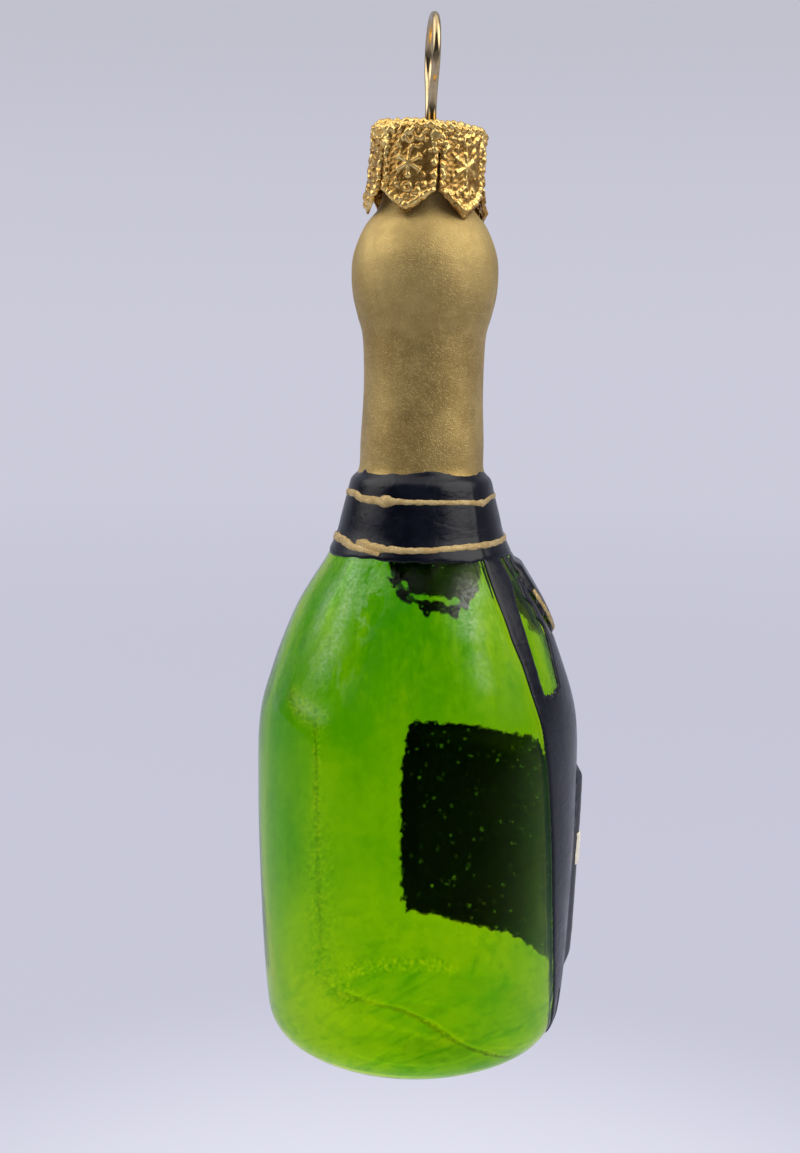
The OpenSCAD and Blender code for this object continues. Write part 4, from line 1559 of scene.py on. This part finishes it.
def photo_camera():
    """Aims from behind and to the left, a little from above, and leans with the photograph."""
    camera = in_scene("camera", bpy.data.cameras.new("camera"))
    camera.data.lens = camera_lens_mm
    camera.data.clip_start = 0.01
    camera.data.clip_end = 50
    camera.location = beside(camera_bearing, camera_distance, camera_height)
    bearing, dip = math.radians(camera_bearing), math.radians(camera_dip)
    aim = Vector((-math.sin(bearing), math.cos(bearing), 0))
    aim.rotate(Matrix.Rotation(math.radians(camera_pan), 3, "Z"))
    aim = aim * math.cos(dip) - Vector((0, 0, math.sin(dip)))
    look = aim.to_track_quat("-Z", "Y").to_matrix() @ Matrix.Rotation(math.radians(camera_roll), 3, "Z")
    camera.rotation_euler = look.to_euler()
    bpy.context.scene.camera = camera


photo_camera()


# light and background

def soft_light(name, place, aim, width, height, power):
    light = bpy.data.lights.new(name, "AREA")
    light.shape = "RECTANGLE"
    light.size = width
    light.size_y = height
    light.energy = power
    lamp = in_scene(name, light)
    lamp.location = place
    lamp.visible_glossy = False
    lamp.rotation_euler = (Vector(aim) - Vector(place)).to_track_quat("-Z", "Y").to_euler()


middle = (0, 0, 0.06)
right_lamp_bearing = -69
for name, bearing in (("left_panel", left_bearing), ("right_panel", right_lamp_bearing)):
    soft_light(name, beside(bearing, 0.46, 0.5), middle, 0.6, 0.5, 2.6)
soft_light("top_panel", (0.05, -0.1, 0.7), middle, 0.4, 0.4, 1.2)

floor_z = -0.06


def background():
    """A pale lilac-grey world; what gloss sees is dark on one side and pale behind the object."""
    world = bpy.data.worlds.new("pale_room")
    bpy.context.scene.world = world
    tree = cleared_nodes(world)
    way = tree.nodes.new("ShaderNodeTexCoord").outputs["Generated"]
    height = part_of(tree, way, 2)
    seen = blend(tree, height.span(0.0, 0.26), linear(203, 203, 218), linear(192, 192, 205))
    side = dot_with(tree, way, right_way).span(0.3, 0.95, 0.035, 0.2)
    behind = dot_with(tree, way, camera_way).span(-0.85, -0.2, 1.0, 0.0)
    glossy = blend(tree, side, (0, 0, 0, 1), (1, 1, 1.1, 1))
    glossy = blend(tree, behind, glossy, (0.36, 0.37, 0.43, 1))
    glossy = blend(tree, height.span(0.68, 0.95), glossy, (0.95, 0.93, 0.88, 1))
    for bearing, bright in ((left_bearing, 1.9), (right_lamp_bearing, 2.3)):
        window = dot_with(tree, way, beside(bearing, 0.77, 0.64)).span(0.78, 0.98)
        glossy = blend(tree, window, glossy, (bright, bright * 0.98, bright * 0.94, 1))
    rays = tree.nodes.new("ShaderNodeLightPath").outputs
    clear = Share(rays["Is Camera Ray"]).larger(rays["Is Transmission Ray"])
    lit = blend(tree, rays["Is Glossy Ray"], (0.62, 0.62, 0.66, 1), glossy)
    shade = put(tree, "ShaderNodeBackground", {"Color": blend(tree, clear, lit, seen), "Strength": 1.0})
    put(tree, "ShaderNodeOutputWorld", {"Surface": shade.outputs[0]})


def floor_material():
    """Pale and matt, with a glow that melts into the room's colour far away and a painted pool of light near
    the object.
    """
    material = bpy.data.materials.new("floor")
    tree = cleared_nodes(material)
    place = tree.nodes.new("ShaderNodeTexCoord").outputs["Object"]
    level = put(tree, "ShaderNodeVectorMath", {0: place, 1: (1, 1, 0)}, operation="MULTIPLY")
    length = put(tree, "ShaderNodeVectorMath", {0: level.outputs[0]}, operation="LENGTH")
    away = Share(length.outputs["Value"])
    colour = blend(tree, away.span(0.2, 1.6), linear(193, 193, 210), linear(203, 203, 218))
    # Painted pool of light: the floor is paler within about 0.16 m of the object.
    colour = blend(tree, away.span(0.06, 0.16, 1.0, 0.0), colour, linear(222, 222, 236))
    lamp_share = away.span(0.0, 1.2, 1.0, 0.0)
    lamp_light = blend(tree, lamp_share, (0.075, 0.075, 0.08, 1), (0.12, 0.12, 0.125, 1))
    glow = blend(tree, 1.0, colour, lamp_light, "SUBTRACT")
    front = dot_with(tree, place, camera_way).span(0.12, 0.4)
    dim = blend(tree, 1.0, glow, (0.62, 0.65, 0.68, 1), "MULTIPLY")
    dim = blend(tree, front, dim, (0.03, 0.03, 0.035, 1))
    rays = tree.nodes.new("ShaderNodeLightPath").outputs
    mirrored = Share(rays["Is Glossy Ray"]) * (1.0 - Share(rays["Is Transmission Ray"]))
    light = put(tree, "ShaderNodeEmission", {"Color": blend(tree, mirrored, glow, dim), "Strength": 1.0})
    matt = put(tree, "ShaderNodeBsdfDiffuse", {"Color": (0.12, 0.12, 0.125, 1)})
    both = put(tree, "ShaderNodeAddShader", {0: light.outputs[0], 1: matt.outputs[0]})
    put(tree, "ShaderNodeOutputMaterial", {"Surface": both.outputs[0]})
    return material


def pale_floor():
    """A wide floor under the hanging ornament."""
    reach = 30.0
    corners = [(-reach, -reach), (reach, -reach), (reach, reach), (-reach, reach)]
    mesh = bpy.data.meshes.new("floor")
    mesh.from_pydata([(x, y, floor_z) for x, y in corners], [], [(0, 1, 2, 3)])
    mesh.materials.append(floor_material())
    floor = in_scene("floor", mesh)


background()
pale_floor()
bpy.context.scene.view_settings.view_transform = "Standard"
